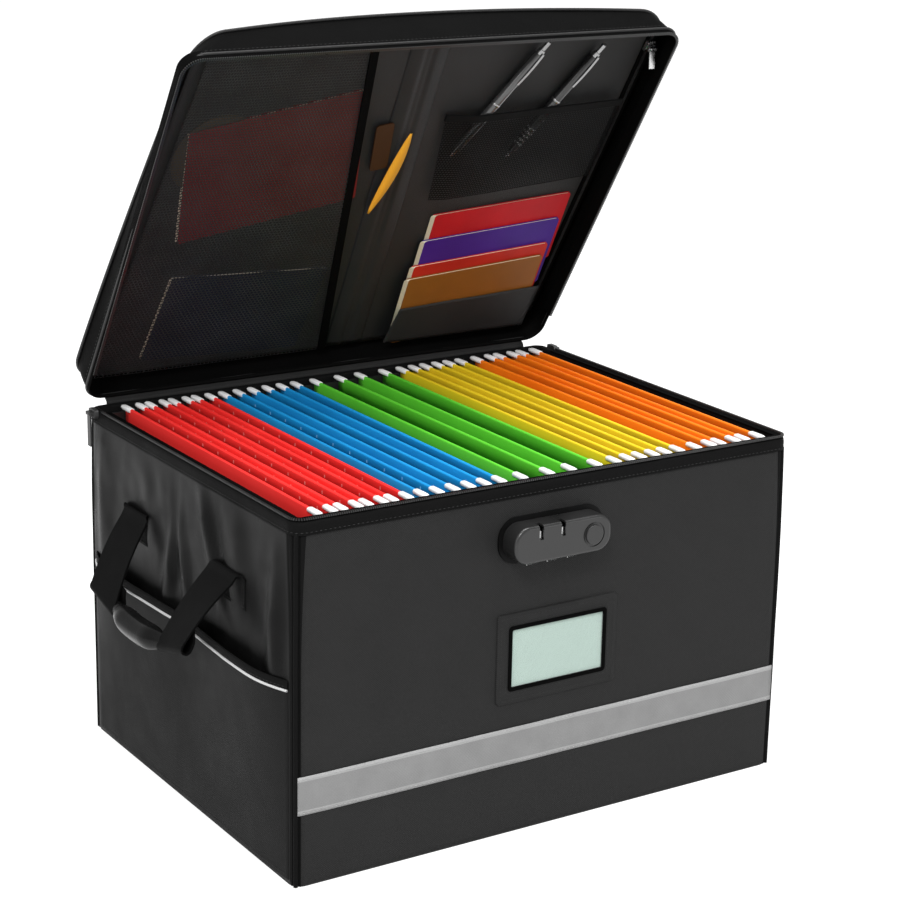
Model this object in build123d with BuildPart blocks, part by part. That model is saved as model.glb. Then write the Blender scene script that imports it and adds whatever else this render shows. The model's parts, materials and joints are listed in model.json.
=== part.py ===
from build123d import *
import os
from math import cos, hypot, radians, sin

os.makedirs("parts", exist_ok=True)

# A soft-sided, collapsible file box with a zipped lid and a combination lock.
# Millimetres.  +X is the box's right, its front faces -Y, +Z is up.
# The origin is the middle of the underside.

# ---------------------------------------------------------------- box walls
WIDTH = 424.0                # outside, left to right
DEPTH = 330.0                # outside, front to back
RIM_TOP = 267.0              # top of the bound rim
RIM_HEIGHT = 15.0            # depth of the binding band round the rim
RIM_SKIN = 1.0               # thickness of the binding
CORNER = 9.0                 # outside corner radius, seen from above
COVER = 1.2                  # outer woven cover
BOARD = 3.0                  # stiffening board inside each wall
LINING = 0.8                 # inner lining
WELT_RADIUS = 2.0            # raised seam down each corner
FOLD_GAP = 4.0               # slit between the two boards of a side wall
BASE_BOARD = 3.0             # loose board in the bottom
BASE_PLAY = 2.0              # room round the loose board

WALL = COVER + BOARD + LINING
WALL_TOP = RIM_TOP - 2 * RIM_SKIN
RIM_LOW = RIM_TOP - RIM_HEIGHT
HALF_WIDTH = WIDTH / 2
HALF_DEPTH = DEPTH / 2
IN_X = HALF_WIDTH - WALL     # inner faces of the side walls
IN_Y = HALF_DEPTH - WALL     # inner faces of the front and back walls
LINING_CORNER = CORNER - WALL
WELT_REACH = (CORNER - 0.6) * sin(radians(45))
WELT_X = HALF_WIDTH - CORNER + WELT_REACH
WELT_Y = HALF_DEPTH - CORNER + WELT_REACH

# ---------------------------------------------------------------- zips
ZIP_HEIGHT = 2.0             # standing edge of each zip tape
ZIP_WIDTH = 2.2
SLIDER_Y = 150.0             # where the two main sliders park
SLIDER_ALONG = 11.0
SLIDER_ACROSS = 7.0
SLIDER_HEIGHT = 3.4
PIN_RADIUS = 0.9
PIN_PLAY = 0.05
PIN_HEIGHT = 5.4             # pin axis above the slider's base
EAR = 1.1
TAB_WIDTH = 5.4
TAB_BARREL = 1.8
TAB_THICK = 1.2
MAIN_TAB = 26.0
POCKET_TAB = 15.5

# ---------------------------------------------------------------- rails and folders
RAIL_NEAR = 151.0            # inner face of the rail's lip
RAIL_LIP = 2.5
RAIL_TOP = 263.0
RAIL_LOW = 238.0
RAIL_FLANGE = 2.0
RAIL_SHELF = 247.0
RAIL_LENGTH = 400.0
FOLDER_WIDTH = 298.5         # a letter hanging folder
FOLDER_LOW = 31.0
FOLDER_SKIN = 0.6
FOLDER_FLOOR = 8.0           # width of the folder's bottom fold
ROD_THICK = 1.6
ROD_LOW = 257.6
ROD_TOP = 266.6
ROD_REACH = 157.5            # half of a rod's length
HOOK_NEAR = 150.4            # the notch that hooks over the rail
HOOK_FAR = 154.2
HOOK_TOP = RAIL_TOP + 0.1
HEM_PLAY = 0.1
# colour: x of the first rod, number of folders, pitch, rod-to-rod opening
FOLDER_GROUPS = {
    "red": (-187.0, 4, 20.0, 12.0),
    "blue": (-103.0, 3, 26.0, 13.0),
    "green": (-20.0, 2, 42.0, 23.0),
    "yellow": (62.0, 3, 23.0, 12.0),
    "orange": (136.0, 3, 23.0, 14.0),
}

# ---------------------------------------------------------------- combination lock
LOCK_X = -5.0                # middle of the lock on the front wall
LOCK_Z = 226.3
LOCK_WIDTH = 83.0
LOCK_HEIGHT = 27.5
LOCK_CORNER = 12.0
LOCK_DEPTH = 16.0            # case, in front of its flange
LOCK_WALL = 1.6
FLANGE = 2.0
FLANGE_LIP = 3.5
DIAL_XS = (-29.0, -11.5, 6.0)
DIAL_RADIUS = 6.8
DIAL_WIDTH = 6.0
DIAL_Y = -174.2
DIAL_Z = 216.4
DIAL_NOTCHES = 10
AXLE_RADIUS = 1.5
RUNNING = 0.05               # radial clearance of a running fit
AXLE_ENDS = (-36.0, 12.2)
RIB = 1.5
PULL_SLOT_XS = (-24.5, -5.7)
PULL_SLOT_WIDTH = 3.6
PULL_SLOT_LOW = 229.5
PULL_SLOT_DEPTH = 7.0
BUTTON_X = 20.8
BUTTON_RADIUS = 7.3
BUTTON_PROUD = 1.6
BUTTON_FLANGE = 8.2
BUTTON_STEM = 2.0
SCREW_SPOTS = ((-40.0, 226.0), (30.8, 218.0))
SCREW_RADIUS = 1.25
SCREW_HEAD = 2.8
BOSS_RADIUS = 2.7
BACKING = 1.5

# ---------------------------------------------------------------- front panel trim
LABEL_X = 4.0
LABEL_Z = 136.7
LABEL_WIDTH = 105.0
LABEL_HEIGHT = 69.0
WINDOW_WIDTH = 81.0
WINDOW_HEIGHT = 45.0
PATCH = 1.6
CARD = 0.5
STRIP_LOW = 54.5
STRIP_HEIGHT = 28.5
STRIP = 0.8

# ---------------------------------------------------------------- side pockets
POCKET_LOW = 3.0
POCKET_TOP = 151.0
POCKET_GAPE = 9.5            # how far the mouth stands off the wall
POCKET_ROOT = 1.7            # the same at the bottom seam
POCKET_TAPER = 16.0          # run over which the ends pull in
POCKET_SKIN = 1.2
BINDING = 0.8
BINDING_DROP = 9.0

# ---------------------------------------------------------------- handles
STRAP_WIDTH = 30.0
STRAP = 1.8
HANDLE_AXIS = (215.6, 206.0)          # x and z of the fold that each handle swings on
KNUCKLE = 2.2                         # radius of the rolled webbing at the fold
STRAP_TOP_Y = 78.0
STRAP_LOW_Y = 57.0
GRIP_RADIUS = 9.5
GRIP_HALF = 68.0
GRIP_END = (247.0, 155.0)             # x and z of the grip's ends
GRIP_MIDDLE = (250.0, 144.5)          # x and z of its middle
ANCHOR_LOW = 181.0
ANCHOR_HEIGHT = 27.0
ANCHOR = 1.6

# ---------------------------------------------------------------- lid
LID_ANGLE = 57.5             # how far the lid stands open
HINGE_Y = 167.0
HINGE_Z = 269.2
LID_WIDTH = 426.0            # at the zip
LID_LENGTH = 336.0
LID_REAR = -1.0              # the zip's rear edge, behind which the hinge lies
LID_CORNER = 14.0
CROWN_WIDTH = 432.0          # at the top panel
CROWN_LENGTH = 338.0
CROWN_REAR = 1.0
CROWN_CORNER = 30.0
CROWN_RISE = 38.0            # height of the plane that the skirt widens to
LID_BASE = 0.4               # zip edge above the hinge plane
ARCH = 12.0                  # the top panel is bowed across its width
SKIRT = 1.2
SKIRT_LOW = LID_BASE + ZIP_HEIGHT
LID_LINING_Z = 21.5
LID_BOARD_Z = 23.0           # underside of the board at the lid's sides
LID_BOARD = 2.4
SLIDER_NOTCH = 26.0          # where the skirt is cut away for the main sliders

# inside the lid: x from the middle, run from the hinge
MESH_LEFT = -205.0
MESH_REAR = 10.0
MESH_FRONT = 328.0
MESH_RIGHT_REAR = 2.0
MESH_RIGHT_FRONT = -50.0
MESH_Z = 17.0
MESH = 0.6
PLEAT_WIDTH = 34.0
PLEAT_REAR_X = 24.0
PLEAT_FRONT_X = 0.0
PLEAT = 3.0
PEN_POCKET = (48.0, 196.0, 168.0, 258.0)     # left, right, rear, front
PEN_POCKET_Z = 12.4
CARD_POCKET = (56.0, 196.0, 12.0, 56.0)
CARD_POCKET_Z = 11.2
POCKET_ZIP_X = 204.4
POCKET_ZIP_WIDTH = 9.0
POCKET_ZIP_REAR = 24.0
POCKET_ZIP_FRONT = 322.0
POCKET_SLIDER_RUN = 310.0
BOOKLET = 2.0
BOOKLET_SIZE = (128.0, 74.0)
BOOKLET_X = 129.0
BOOKLET_FRONTS = (150.0, 124.0, 98.0, 86.0)
MESH_BOOKLETS = (
    (-104.0, 214.0, 11.0, (150.0, 112.0)),
    (-92.0, 60.0, -2.0, (140.0, 88.0)),
)
PEN_RADIUS = 4.0
PEN_LENGTH = 122.0
PEN_LEAN = 50.0
PEN_RISE = 17.3
PEN_TOPS = ((104.0, 322.0), (158.0, 316.0))

FRONT = Plane(origin=(0, 0, 0), x_dir=(1, 0, 0), z_dir=(0, -1, 0))
BACK = Plane(origin=(0, 0, 0), x_dir=(-1, 0, 0), z_dir=(0, 1, 0))
LEFT = Plane(origin=(0, 0, 0), x_dir=(0, -1, 0), z_dir=(-1, 0, 0))
RIGHT = Plane(origin=(0, 0, 0), x_dir=(0, 1, 0), z_dir=(1, 0, 0))

SINE = sin(radians(LID_ANGLE))
COSINE = cos(radians(LID_ANGLE))


def lid_point(x, run, rise):
    """A point of the lid: run is the way from the hinge to the front edge."""
    return (x, HINGE_Y - run * COSINE + rise * SINE, HINGE_Z + run * SINE + rise * COSINE)


# The lid's own plane: local x is +X, local y points back to the hinge, z is its outside.
LID = Plane(origin=(0, HINGE_Y, HINGE_Z), x_dir=(1, 0, 0), z_dir=(0, SINE, COSINE))


def save(piece, name):
    piece.part.label = name
    export_step(piece.part, f"parts/{name}.step")


# ================================================================ box walls
with BuildPart() as base_cover:
    with BuildSketch(Plane.XY):
        RectangleRounded(WIDTH, DEPTH, CORNER)
    extrude(amount=COVER)
save(base_cover, "base_cover")

COVER_HEIGHT = WALL_TOP - COVER
COVER_MIDDLE = (WALL_TOP + COVER) / 2

with BuildPart() as front_cover:
    with BuildSketch(FRONT.offset(HALF_DEPTH - COVER)):
        with Locations((0, COVER_MIDDLE)):
            Rectangle(WIDTH - 2 * CORNER, COVER_HEIGHT)
        with Locations(*SCREW_SPOTS):
            Circle(SCREW_RADIUS + 0.3, mode=Mode.SUBTRACT)
    extrude(amount=COVER)
save(front_cover, "front_cover")

for name, face, reach, run in (
    ("back_cover", BACK, HALF_DEPTH, WIDTH),
    ("left_cover", LEFT, HALF_WIDTH, DEPTH),
    ("right_cover", RIGHT, HALF_WIDTH, DEPTH),
):
    with BuildPart() as cover:
        with BuildSketch(face.offset(reach - COVER)):
            with Locations((0, COVER_MIDDLE)):
                Rectangle(run - 2 * CORNER, COVER_HEIGHT)
        extrude(amount=COVER)
    save(cover, name)

# Each corner is a quarter-round of cover with a raised welt down it.
with BuildPart() as corner_welts:
    with BuildSketch(Plane.XY.offset(COVER)):
        RectangleRounded(WIDTH, DEPTH, CORNER)
        RectangleRounded(WIDTH - 2 * COVER, DEPTH - 2 * COVER, CORNER - COVER, mode=Mode.SUBTRACT)
        Rectangle(WIDTH - 2 * CORNER, DEPTH + 1, mode=Mode.SUBTRACT)
        Rectangle(WIDTH + 1, DEPTH - 2 * CORNER, mode=Mode.SUBTRACT)
    extrude(amount=COVER_HEIGHT)
    with BuildSketch(Plane.XY.offset(COVER)):
        with GridLocations(2 * WELT_X, 2 * WELT_Y, 2, 2):
            Circle(WELT_RADIUS)
        RectangleRounded(WIDTH - 2 * COVER, DEPTH - 2 * COVER, CORNER - COVER, mode=Mode.SUBTRACT)
    extrude(amount=RIM_LOW - COVER)
save(corner_welts, "corner_welts")

BOARD_TOP = WALL_TOP - 1.0
BOARD_HEIGHT = BOARD_TOP - COVER
BOARD_MIDDLE = (BOARD_TOP + COVER) / 2

with BuildPart() as front_board:
    with BuildSketch(FRONT.offset(HALF_DEPTH - COVER - BOARD)):
        with Locations((0, BOARD_MIDDLE)):
            Rectangle(WIDTH - 2 * CORNER, BOARD_HEIGHT)
        with Locations(*SCREW_SPOTS):
            Circle(SCREW_RADIUS + 0.3, mode=Mode.SUBTRACT)
    extrude(amount=BOARD)
save(front_board, "front_board")

with BuildPart() as back_board:
    with BuildSketch(BACK.offset(HALF_DEPTH - COVER - BOARD)):
        with Locations((0, BOARD_MIDDLE)):
            Rectangle(WIDTH - 2 * CORNER, BOARD_HEIGHT)
    extrude(amount=BOARD)
save(back_board, "back_board")

# The side walls fold in at the middle when the empty box is flattened: two boards each.
HALF_BOARD = HALF_DEPTH - CORNER - FOLD_GAP / 2
with BuildPart() as side_boards:
    for face in (LEFT, RIGHT):
        with BuildSketch(face.offset(HALF_WIDTH - COVER - BOARD)):
            with Locations((0, BOARD_MIDDLE)):
                with GridLocations(HALF_BOARD + FOLD_GAP, 0, 2, 1):
                    Rectangle(HALF_BOARD, BOARD_HEIGHT)
        extrude(amount=BOARD)
save(side_boards, "side_boards")

with BuildPart() as lining:
    with BuildSketch(Plane.XY.offset(COVER)):
        RectangleRounded(2 * (IN_X + LINING), 2 * (IN_Y + LINING), LINING_CORNER + LINING)
    extrude(amount=WALL_TOP - COVER)
    with BuildSketch(Plane.XY.offset(COVER + LINING)):
        RectangleRounded(2 * IN_X, 2 * IN_Y, LINING_CORNER)
    extrude(amount=WALL_TOP, mode=Mode.SUBTRACT)
    with BuildSketch(FRONT.offset(IN_Y - 1)):
        with Locations(*SCREW_SPOTS):
            Circle(SCREW_RADIUS + 0.3)
    extrude(amount=LINING + 2, mode=Mode.SUBTRACT)
save(lining, "lining")

with BuildPart() as base_board:
    with BuildSketch(Plane.XY.offset(COVER + LINING)):
        RectangleRounded(2 * (IN_X - BASE_PLAY), 2 * (IN_Y - BASE_PLAY), LINING_CORNER)
    extrude(amount=BASE_BOARD)
save(base_board, "base_board")

# The binding round the rim is a channel that sits over the tops of the walls.
with BuildPart() as rim_band:
    with BuildSketch(Plane.XY.offset(RIM_LOW)):
        RectangleRounded(WIDTH + 2 * RIM_SKIN, DEPTH + 2 * RIM_SKIN, CORNER + RIM_SKIN)
        RectangleRounded(2 * (IN_X - RIM_SKIN), 2 * (IN_Y - RIM_SKIN), LINING_CORNER - RIM_SKIN,
                         mode=Mode.SUBTRACT)
    extrude(amount=RIM_HEIGHT)
    with BuildSketch(Plane.XY.offset(RIM_LOW)):
        RectangleRounded(WIDTH, DEPTH, CORNER)
        RectangleRounded(2 * IN_X, 2 * IN_Y, LINING_CORNER, mode=Mode.SUBTRACT)
    extrude(amount=WALL_TOP - RIM_LOW, mode=Mode.SUBTRACT)
save(rim_band, "rim_band")

# The box's half of the main zip runs round the front and both sides.
with BuildPart() as box_zip_tape:
    with BuildSketch(Plane.XY.offset(RIM_TOP)):
        RectangleRounded(WIDTH, DEPTH, CORNER)
        RectangleRounded(WIDTH - 2 * ZIP_WIDTH, DEPTH - 2 * ZIP_WIDTH, CORNER - ZIP_WIDTH,
                         mode=Mode.SUBTRACT)
        with Locations((0, HALF_DEPTH)):
            Rectangle(WIDTH + 9, 2 * (HALF_DEPTH - SLIDER_Y + SLIDER_ALONG / 2), mode=Mode.SUBTRACT)
    extrude(amount=ZIP_HEIGHT)
save(box_zip_tape, "box_zip_tape")

with BuildPart() as hinge_strip:
    with BuildSketch(BACK.offset(HALF_DEPTH + RIM_SKIN)):
        with Locations((0, (RIM_LOW + HINGE_Z) / 2)):
            Rectangle(WIDTH - 4 * CORNER, HINGE_Z - RIM_LOW - 1)
    extrude(amount=LINING)
save(hinge_strip, "hinge_strip")


# ================================================================ zip sliders and pulls
def zip_slider(frame, along, across):
    """A slider on the plane of its frame, with its pull pin along the frame's x axis."""
    with BuildPart() as slider:
        with BuildSketch(frame):
            RectangleRounded(along, across, 2.0)
        extrude(amount=SLIDER_HEIGHT)
        with BuildSketch(frame.offset(SLIDER_HEIGHT)):
            with GridLocations(TAB_WIDTH + 0.6 + EAR, 0, 2, 1):
                Rectangle(EAR, 2.6)
        extrude(amount=PIN_HEIGHT + 1.2 - SLIDER_HEIGHT)
        side = Plane(origin=frame.offset(PIN_HEIGHT).origin, x_dir=frame.y_dir, z_dir=frame.x_dir)
        with BuildSketch(side):
            Circle(PIN_RADIUS)
        extrude(amount=(TAB_WIDTH + 0.6) / 2 + EAR / 2, both=True)
    return slider


def pull_tab(centre, axis, down, length):
    """A pull that hangs from a pin: a barrel round the pin and a flat tongue below it."""
    side = Plane(origin=centre, x_dir=down, z_dir=axis)
    with BuildPart() as tab:
        with BuildSketch(side):
            Circle(TAB_BARREL)
            with Locations((length / 2, 0)):
                Rectangle(length, TAB_THICK)
            Circle(PIN_RADIUS + PIN_PLAY, mode=Mode.SUBTRACT)
        extrude(amount=TAB_WIDTH / 2, both=True)
    return tab


MAIN_SLIDER_Z = RIM_TOP - 1.0
SLIDER_FACE = HALF_WIDTH + RIM_SKIN
main_sliders = []
for sign in (-1, 1):
    frame = Plane(origin=(sign * SLIDER_FACE, SLIDER_Y, MAIN_SLIDER_Z), x_dir=(0, 1, 0),
                  z_dir=(sign, 0, 0))
    main_sliders.append(zip_slider(frame, SLIDER_ALONG, SLIDER_ACROSS).part)
with BuildPart() as zip_sliders:
    add(main_sliders)
save(zip_sliders, "zip_sliders")

for name, sign in (("left_zip_pull", -1), ("right_zip_pull", 1)):
    pin = (sign * (SLIDER_FACE + PIN_HEIGHT), SLIDER_Y, MAIN_SLIDER_Z)
    save(pull_tab(pin, (0, 1, 0), (0, 0, -1), MAIN_TAB), name)


# ================================================================ rails and folders
# Each rail is a strip that stands off its wall on a shelf, with a lip the folders hook over.
with BuildPart() as folder_rails:
    for face in (FRONT, BACK):
        end = Plane(origin=(-RAIL_LENGTH / 2, 0, 0), x_dir=face.z_dir, z_dir=(1, 0, 0))
        with BuildSketch(end):
            up = 1 if end.y_dir.Z > 0 else -1
            with BuildLine():
                Polyline(
                    (IN_Y, up * RAIL_LOW),
                    (IN_Y, up * RAIL_SHELF),
                    (RAIL_NEAR + RAIL_LIP, up * RAIL_SHELF),
                    (RAIL_NEAR + RAIL_LIP, up * RAIL_TOP),
                    (RAIL_NEAR, up * RAIL_TOP),
                    (RAIL_NEAR, up * (RAIL_SHELF - RAIL_FLANGE)),
                    (IN_Y - RAIL_FLANGE, up * (RAIL_SHELF - RAIL_FLANGE)),
                    (IN_Y - RAIL_FLANGE, up * RAIL_LOW),
                    close=True,
                )
            make_face()
        extrude(amount=RAIL_LENGTH)
save(folder_rails, "folder_rails")

SIDE_ON = Plane(origin=(0, FOLDER_WIDTH / 2, 0), x_dir=(1, 0, 0), z_dir=(0, -1, 0))
HEM_WIDTH = ROD_THICK + 2 * (FOLDER_SKIN + HEM_PLAY)
HEM_LOW = ROD_LOW - HEM_PLAY - FOLDER_SKIN
HEM_TOP = ROD_TOP + HEM_PLAY + FOLDER_SKIN
HALF_SKIN = FOLDER_SKIN / 2


def rod_pairs(first, count, pitch, opening):
    """The x of the two rods of each folder in a group."""
    return [(first + k * pitch, first + k * pitch + opening) for k in range(count)]


for colour, group in FOLDER_GROUPS.items():
    with BuildPart() as folders:
        for near, far in rod_pairs(*group):
            fold = (near + far) / 2
            half_floor = FOLDER_FLOOR / 2
            with BuildSketch(SIDE_ON):
                with BuildLine():
                    Polyline(
                        (near - HALF_SKIN, HEM_LOW),
                        (fold - half_floor, FOLDER_LOW),
                        (fold + half_floor, FOLDER_LOW),
                        (far + HALF_SKIN, HEM_LOW),
                        (far - HALF_SKIN, HEM_LOW),
                        (fold + half_floor - FOLDER_SKIN, FOLDER_LOW + FOLDER_SKIN),
                        (fold - half_floor + FOLDER_SKIN, FOLDER_LOW + FOLDER_SKIN),
                        (near + HALF_SKIN, HEM_LOW),
                        close=True,
                    )
                make_face()
                with Locations((near, (HEM_LOW + HEM_TOP) / 2), (far, (HEM_LOW + HEM_TOP) / 2)):
                    Rectangle(HEM_WIDTH, HEM_TOP - HEM_LOW)
                    Rectangle(ROD_THICK + 2 * HEM_PLAY, ROD_TOP - ROD_LOW + 2 * HEM_PLAY,
                              mode=Mode.SUBTRACT)
            extrude(amount=FOLDER_WIDTH)
    save(folders, f"{colour}_folders")

with BuildPart() as folder_rods:
    for group in FOLDER_GROUPS.values():
        for pair in rod_pairs(*group):
            for rod_x in pair:
                with BuildSketch(RIGHT.offset(rod_x - ROD_THICK / 2)):
                    with Locations((0, (ROD_LOW + ROD_TOP) / 2)):
                        Rectangle(2 * ROD_REACH, ROD_TOP - ROD_LOW)
                    for sign in (-1, 1):
                        with Locations((sign * (HOOK_NEAR + HOOK_FAR) / 2, (ROD_LOW + HOOK_TOP) / 2)):
                            Rectangle(HOOK_FAR - HOOK_NEAR, HOOK_TOP - ROD_LOW, mode=Mode.SUBTRACT)
                extrude(amount=ROD_THICK)
save(folder_rods, "folder_rods")


# ================================================================ combination lock
LOCK_BACK = HALF_DEPTH + FLANGE           # distance of the case's open back from the middle
LOCK_FRONT = LOCK_BACK + LOCK_DEPTH

with BuildPart() as lock_flange:
    with BuildSketch(FRONT.offset(HALF_DEPTH)):
        with Locations((LOCK_X, LOCK_Z)):
            RectangleRounded(LOCK_WIDTH + 2 * FLANGE_LIP, LOCK_HEIGHT + 2 * FLANGE_LIP,
                             LOCK_CORNER + FLANGE_LIP)
        with Locations(*SCREW_SPOTS):
            Circle(SCREW_RADIUS + 0.3, mode=Mode.SUBTRACT)
    extrude(amount=FLANGE)
save(lock_flange, "lock_flange")

with BuildPart() as lock_case:
    with BuildSketch(FRONT.offset(LOCK_BACK)):
        with Locations((LOCK_X, LOCK_Z)):
            RectangleRounded(LOCK_WIDTH, LOCK_HEIGHT, LOCK_CORNER)
    extrude(amount=LOCK_DEPTH)
    fillet(lock_case.faces().sort_by(Axis.Y)[0].edges(), 2.5)
    with BuildSketch(FRONT.offset(LOCK_BACK)):
        with Locations((LOCK_X, LOCK_Z)):
            RectangleRounded(LOCK_WIDTH - 2 * LOCK_WALL, LOCK_HEIGHT - 2 * LOCK_WALL,
                             LOCK_CORNER - LOCK_WALL)
    extrude(amount=LOCK_DEPTH - LOCK_WALL, mode=Mode.SUBTRACT)
    # bosses for the two screws
    with BuildSketch(FRONT.offset(LOCK_BACK)):
        with Locations(*SCREW_SPOTS):
            Circle(BOSS_RADIUS)
            Circle(SCREW_RADIUS, mode=Mode.SUBTRACT)
    extrude(amount=LOCK_DEPTH - LOCK_WALL)
    # ribs that hold the ends of the dial axle
    for rib_x in (AXLE_ENDS[0] + 0.4, AXLE_ENDS[1] - RIB - 0.2):
        with BuildSketch(RIGHT.offset(rib_x)):
            with Locations((-(LOCK_BACK + LOCK_FRONT - LOCK_WALL) / 2, DIAL_Z + 1.0)):
                Rectangle(LOCK_DEPTH - LOCK_WALL, 7.6)
            with Locations((DIAL_Y, DIAL_Z)):
                Circle(AXLE_RADIUS, mode=Mode.SUBTRACT)
        extrude(amount=RIB)
    # slots in the underside that the dials stand out of
    with BuildSketch(Plane.XY.offset(LOCK_Z - LOCK_HEIGHT / 2 - 1)):
        for dial_x in DIAL_XS:
            with Locations((dial_x, DIAL_Y)):
                Rectangle(DIAL_WIDTH + 0.8, 2 * DIAL_RADIUS + 0.5)
    extrude(amount=LOCK_WALL + 2, mode=Mode.SUBTRACT)
    # two slots that take the pulls of the main zip
    with BuildSketch(Plane.XY.offset(PULL_SLOT_LOW)):
        for slot_x in PULL_SLOT_XS:
            with Locations((slot_x, -LOCK_FRONT + PULL_SLOT_DEPTH / 2)):
                Rectangle(PULL_SLOT_WIDTH, PULL_SLOT_DEPTH + 0.01)
    extrude(amount=LOCK_HEIGHT, mode=Mode.SUBTRACT)
    # the button's bore, with a ring groove round it
    with BuildSketch(FRONT.offset(LOCK_FRONT)):
        with Locations((BUTTON_X, LOCK_Z)):
            Circle(BUTTON_RADIUS + 1.9)
            Circle(BUTTON_RADIUS + 1.0, mode=Mode.SUBTRACT)
    extrude(amount=-0.7, mode=Mode.SUBTRACT)
    with BuildSketch(FRONT.offset(LOCK_FRONT - LOCK_WALL - 0.5)):
        with Locations((BUTTON_X, LOCK_Z)):
            Circle(BUTTON_RADIUS + RUNNING)
    extrude(amount=LOCK_WALL + 1, mode=Mode.SUBTRACT)
save(lock_case, "lock_case")

for number, dial_x in enumerate(DIAL_XS, start=1):
    with BuildPart() as dial:
        with BuildSketch(RIGHT.offset(dial_x - DIAL_WIDTH / 2)):
            with Locations((DIAL_Y, DIAL_Z)):
                Circle(DIAL_RADIUS)
                Circle(AXLE_RADIUS + RUNNING, mode=Mode.SUBTRACT)
                with PolarLocations(DIAL_RADIUS, DIAL_NOTCHES):
                    Circle(0.6, mode=Mode.SUBTRACT)
        extrude(amount=DIAL_WIDTH)
    save(dial, f"dial_{number}")

with BuildPart() as dial_axle:
    with BuildSketch(RIGHT.offset(AXLE_ENDS[0])):
        with Locations((DIAL_Y, DIAL_Z)):
            Circle(AXLE_RADIUS)
    extrude(amount=AXLE_ENDS[1] - AXLE_ENDS[0])
save(dial_axle, "dial_axle")

# The latch bar lies over the dials; its fingers cross the pull slots.
BAR_LOW = DIAL_Z + DIAL_RADIUS + 1.0
BAR_TOP = PULL_SLOT_LOW - 1.5
BAR_DEPTH = 2.4
with BuildPart() as latch_bar:
    with BuildSketch(FRONT.offset(LOCK_FRONT - LOCK_WALL - 0.6 - BAR_DEPTH)):
        with Locations(((AXLE_ENDS[0] + 8.0) / 2, (BAR_LOW + BAR_TOP) / 2)):
            Rectangle(8.0 - AXLE_ENDS[0], BAR_TOP - BAR_LOW)
        for slot_x in PULL_SLOT_XS:
            with Locations((slot_x, BAR_TOP + 3.5)):
                Rectangle(2.2, 8.0)
    extrude(amount=BAR_DEPTH)
save(latch_bar, "latch_bar")

BUTTON_BACK = 171.5
with BuildPart() as lock_button:
    with BuildSketch(FRONT.offset(LOCK_FRONT - LOCK_WALL - 0.4)):
        with Locations((BUTTON_X, LOCK_Z)):
            Circle(BUTTON_RADIUS)
    extrude(amount=LOCK_WALL + 0.4 + BUTTON_PROUD)
    fillet(lock_button.faces().sort_by(Axis.Y)[0].edges(), 0.7)
    with BuildSketch(FRONT.offset(LOCK_FRONT - LOCK_WALL - 1.8)):
        with Locations((BUTTON_X, LOCK_Z)):
            Circle(BUTTON_FLANGE)
    extrude(amount=1.4)
    with BuildSketch(FRONT.offset(BUTTON_BACK)):
        with Locations((BUTTON_X, LOCK_Z)):
            Circle(BUTTON_STEM)
    extrude(amount=LOCK_FRONT - LOCK_WALL - 1.8 - BUTTON_BACK)
save(lock_button, "lock_button")

# A coil spring round the stem pushes the button out.
SPRING_WIRE = 0.45
SPRING_RADIUS = BUTTON_STEM + SPRING_WIRE + 0.4
SPRING_BACK = LOCK_BACK + SPRING_WIRE
SPRING_LENGTH = LOCK_FRONT - LOCK_WALL - 1.8 - SPRING_BACK - SPRING_WIRE
with BuildPart() as button_spring:
    with BuildLine():
        coil = Helix(pitch=SPRING_LENGTH / 5, height=SPRING_LENGTH, radius=SPRING_RADIUS,
                     center=(BUTTON_X, -SPRING_BACK, LOCK_Z), direction=(0, -1, 0))
    with BuildSketch(Plane(origin=coil @ 0, z_dir=coil % 0)):
        Circle(SPRING_WIRE)
    sweep(path=coil, is_frenet=True)
save(button_spring, "button_spring")

with BuildPart() as backing_plate:
    with BuildSketch(FRONT.offset(IN_Y - BACKING)):
        with Locations((LOCK_X, 224.5)):
            RectangleRounded(LOCK_WIDTH, 22.0, 3.0)
        with Locations(*SCREW_SPOTS):
            Circle(SCREW_RADIUS + 0.3, mode=Mode.SUBTRACT)
    extrude(amount=BACKING)
save(backing_plate, "backing_plate")

with BuildPart() as lock_screws:
    with BuildSketch(FRONT.offset(IN_Y - BACKING)):
        with Locations(*SCREW_SPOTS):
            Circle(SCREW_RADIUS)
    extrude(amount=BACKING + WALL + FLANGE + 9.0)
    with BuildSketch(FRONT.offset(IN_Y - BACKING - 1.4)):
        with Locations(*SCREW_SPOTS):
            Circle(SCREW_HEAD)
    extrude(amount=1.4)
save(lock_screws, "lock_screws")


# ================================================================ front panel trim
with BuildPart() as label_patch:
    with BuildSketch(FRONT.offset(HALF_DEPTH)):
        with Locations((LABEL_X, LABEL_Z)):
            RectangleRounded(LABEL_WIDTH, LABEL_HEIGHT, 3.0)
            Rectangle(WINDOW_WIDTH, WINDOW_HEIGHT, mode=Mode.SUBTRACT)
    extrude(amount=PATCH)
save(label_patch, "label_patch")

with BuildPart() as label_card:
    with BuildSketch(FRONT.offset(HALF_DEPTH)):
        with Locations((LABEL_X, LABEL_Z)):
            Rectangle(WINDOW_WIDTH - 1, WINDOW_HEIGHT - 1)
    extrude(amount=CARD)
save(label_card, "label_card")

with BuildPart() as label_window:
    with BuildSketch(FRONT.offset(HALF_DEPTH + CARD)):
        with Locations((LABEL_X, LABEL_Z)):
            Rectangle(WINDOW_WIDTH, WINDOW_HEIGHT)
    extrude(amount=0.4)
save(label_window, "label_window")

with BuildPart() as reflective_strip:
    with BuildSketch(FRONT.offset(HALF_DEPTH)):
        with Locations((0, STRIP_LOW + STRIP_HEIGHT / 2)):
            Rectangle(WIDTH - 2 * CORNER, STRIP_HEIGHT)
    extrude(amount=STRIP)
save(reflective_strip, "reflective_strip")


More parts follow.
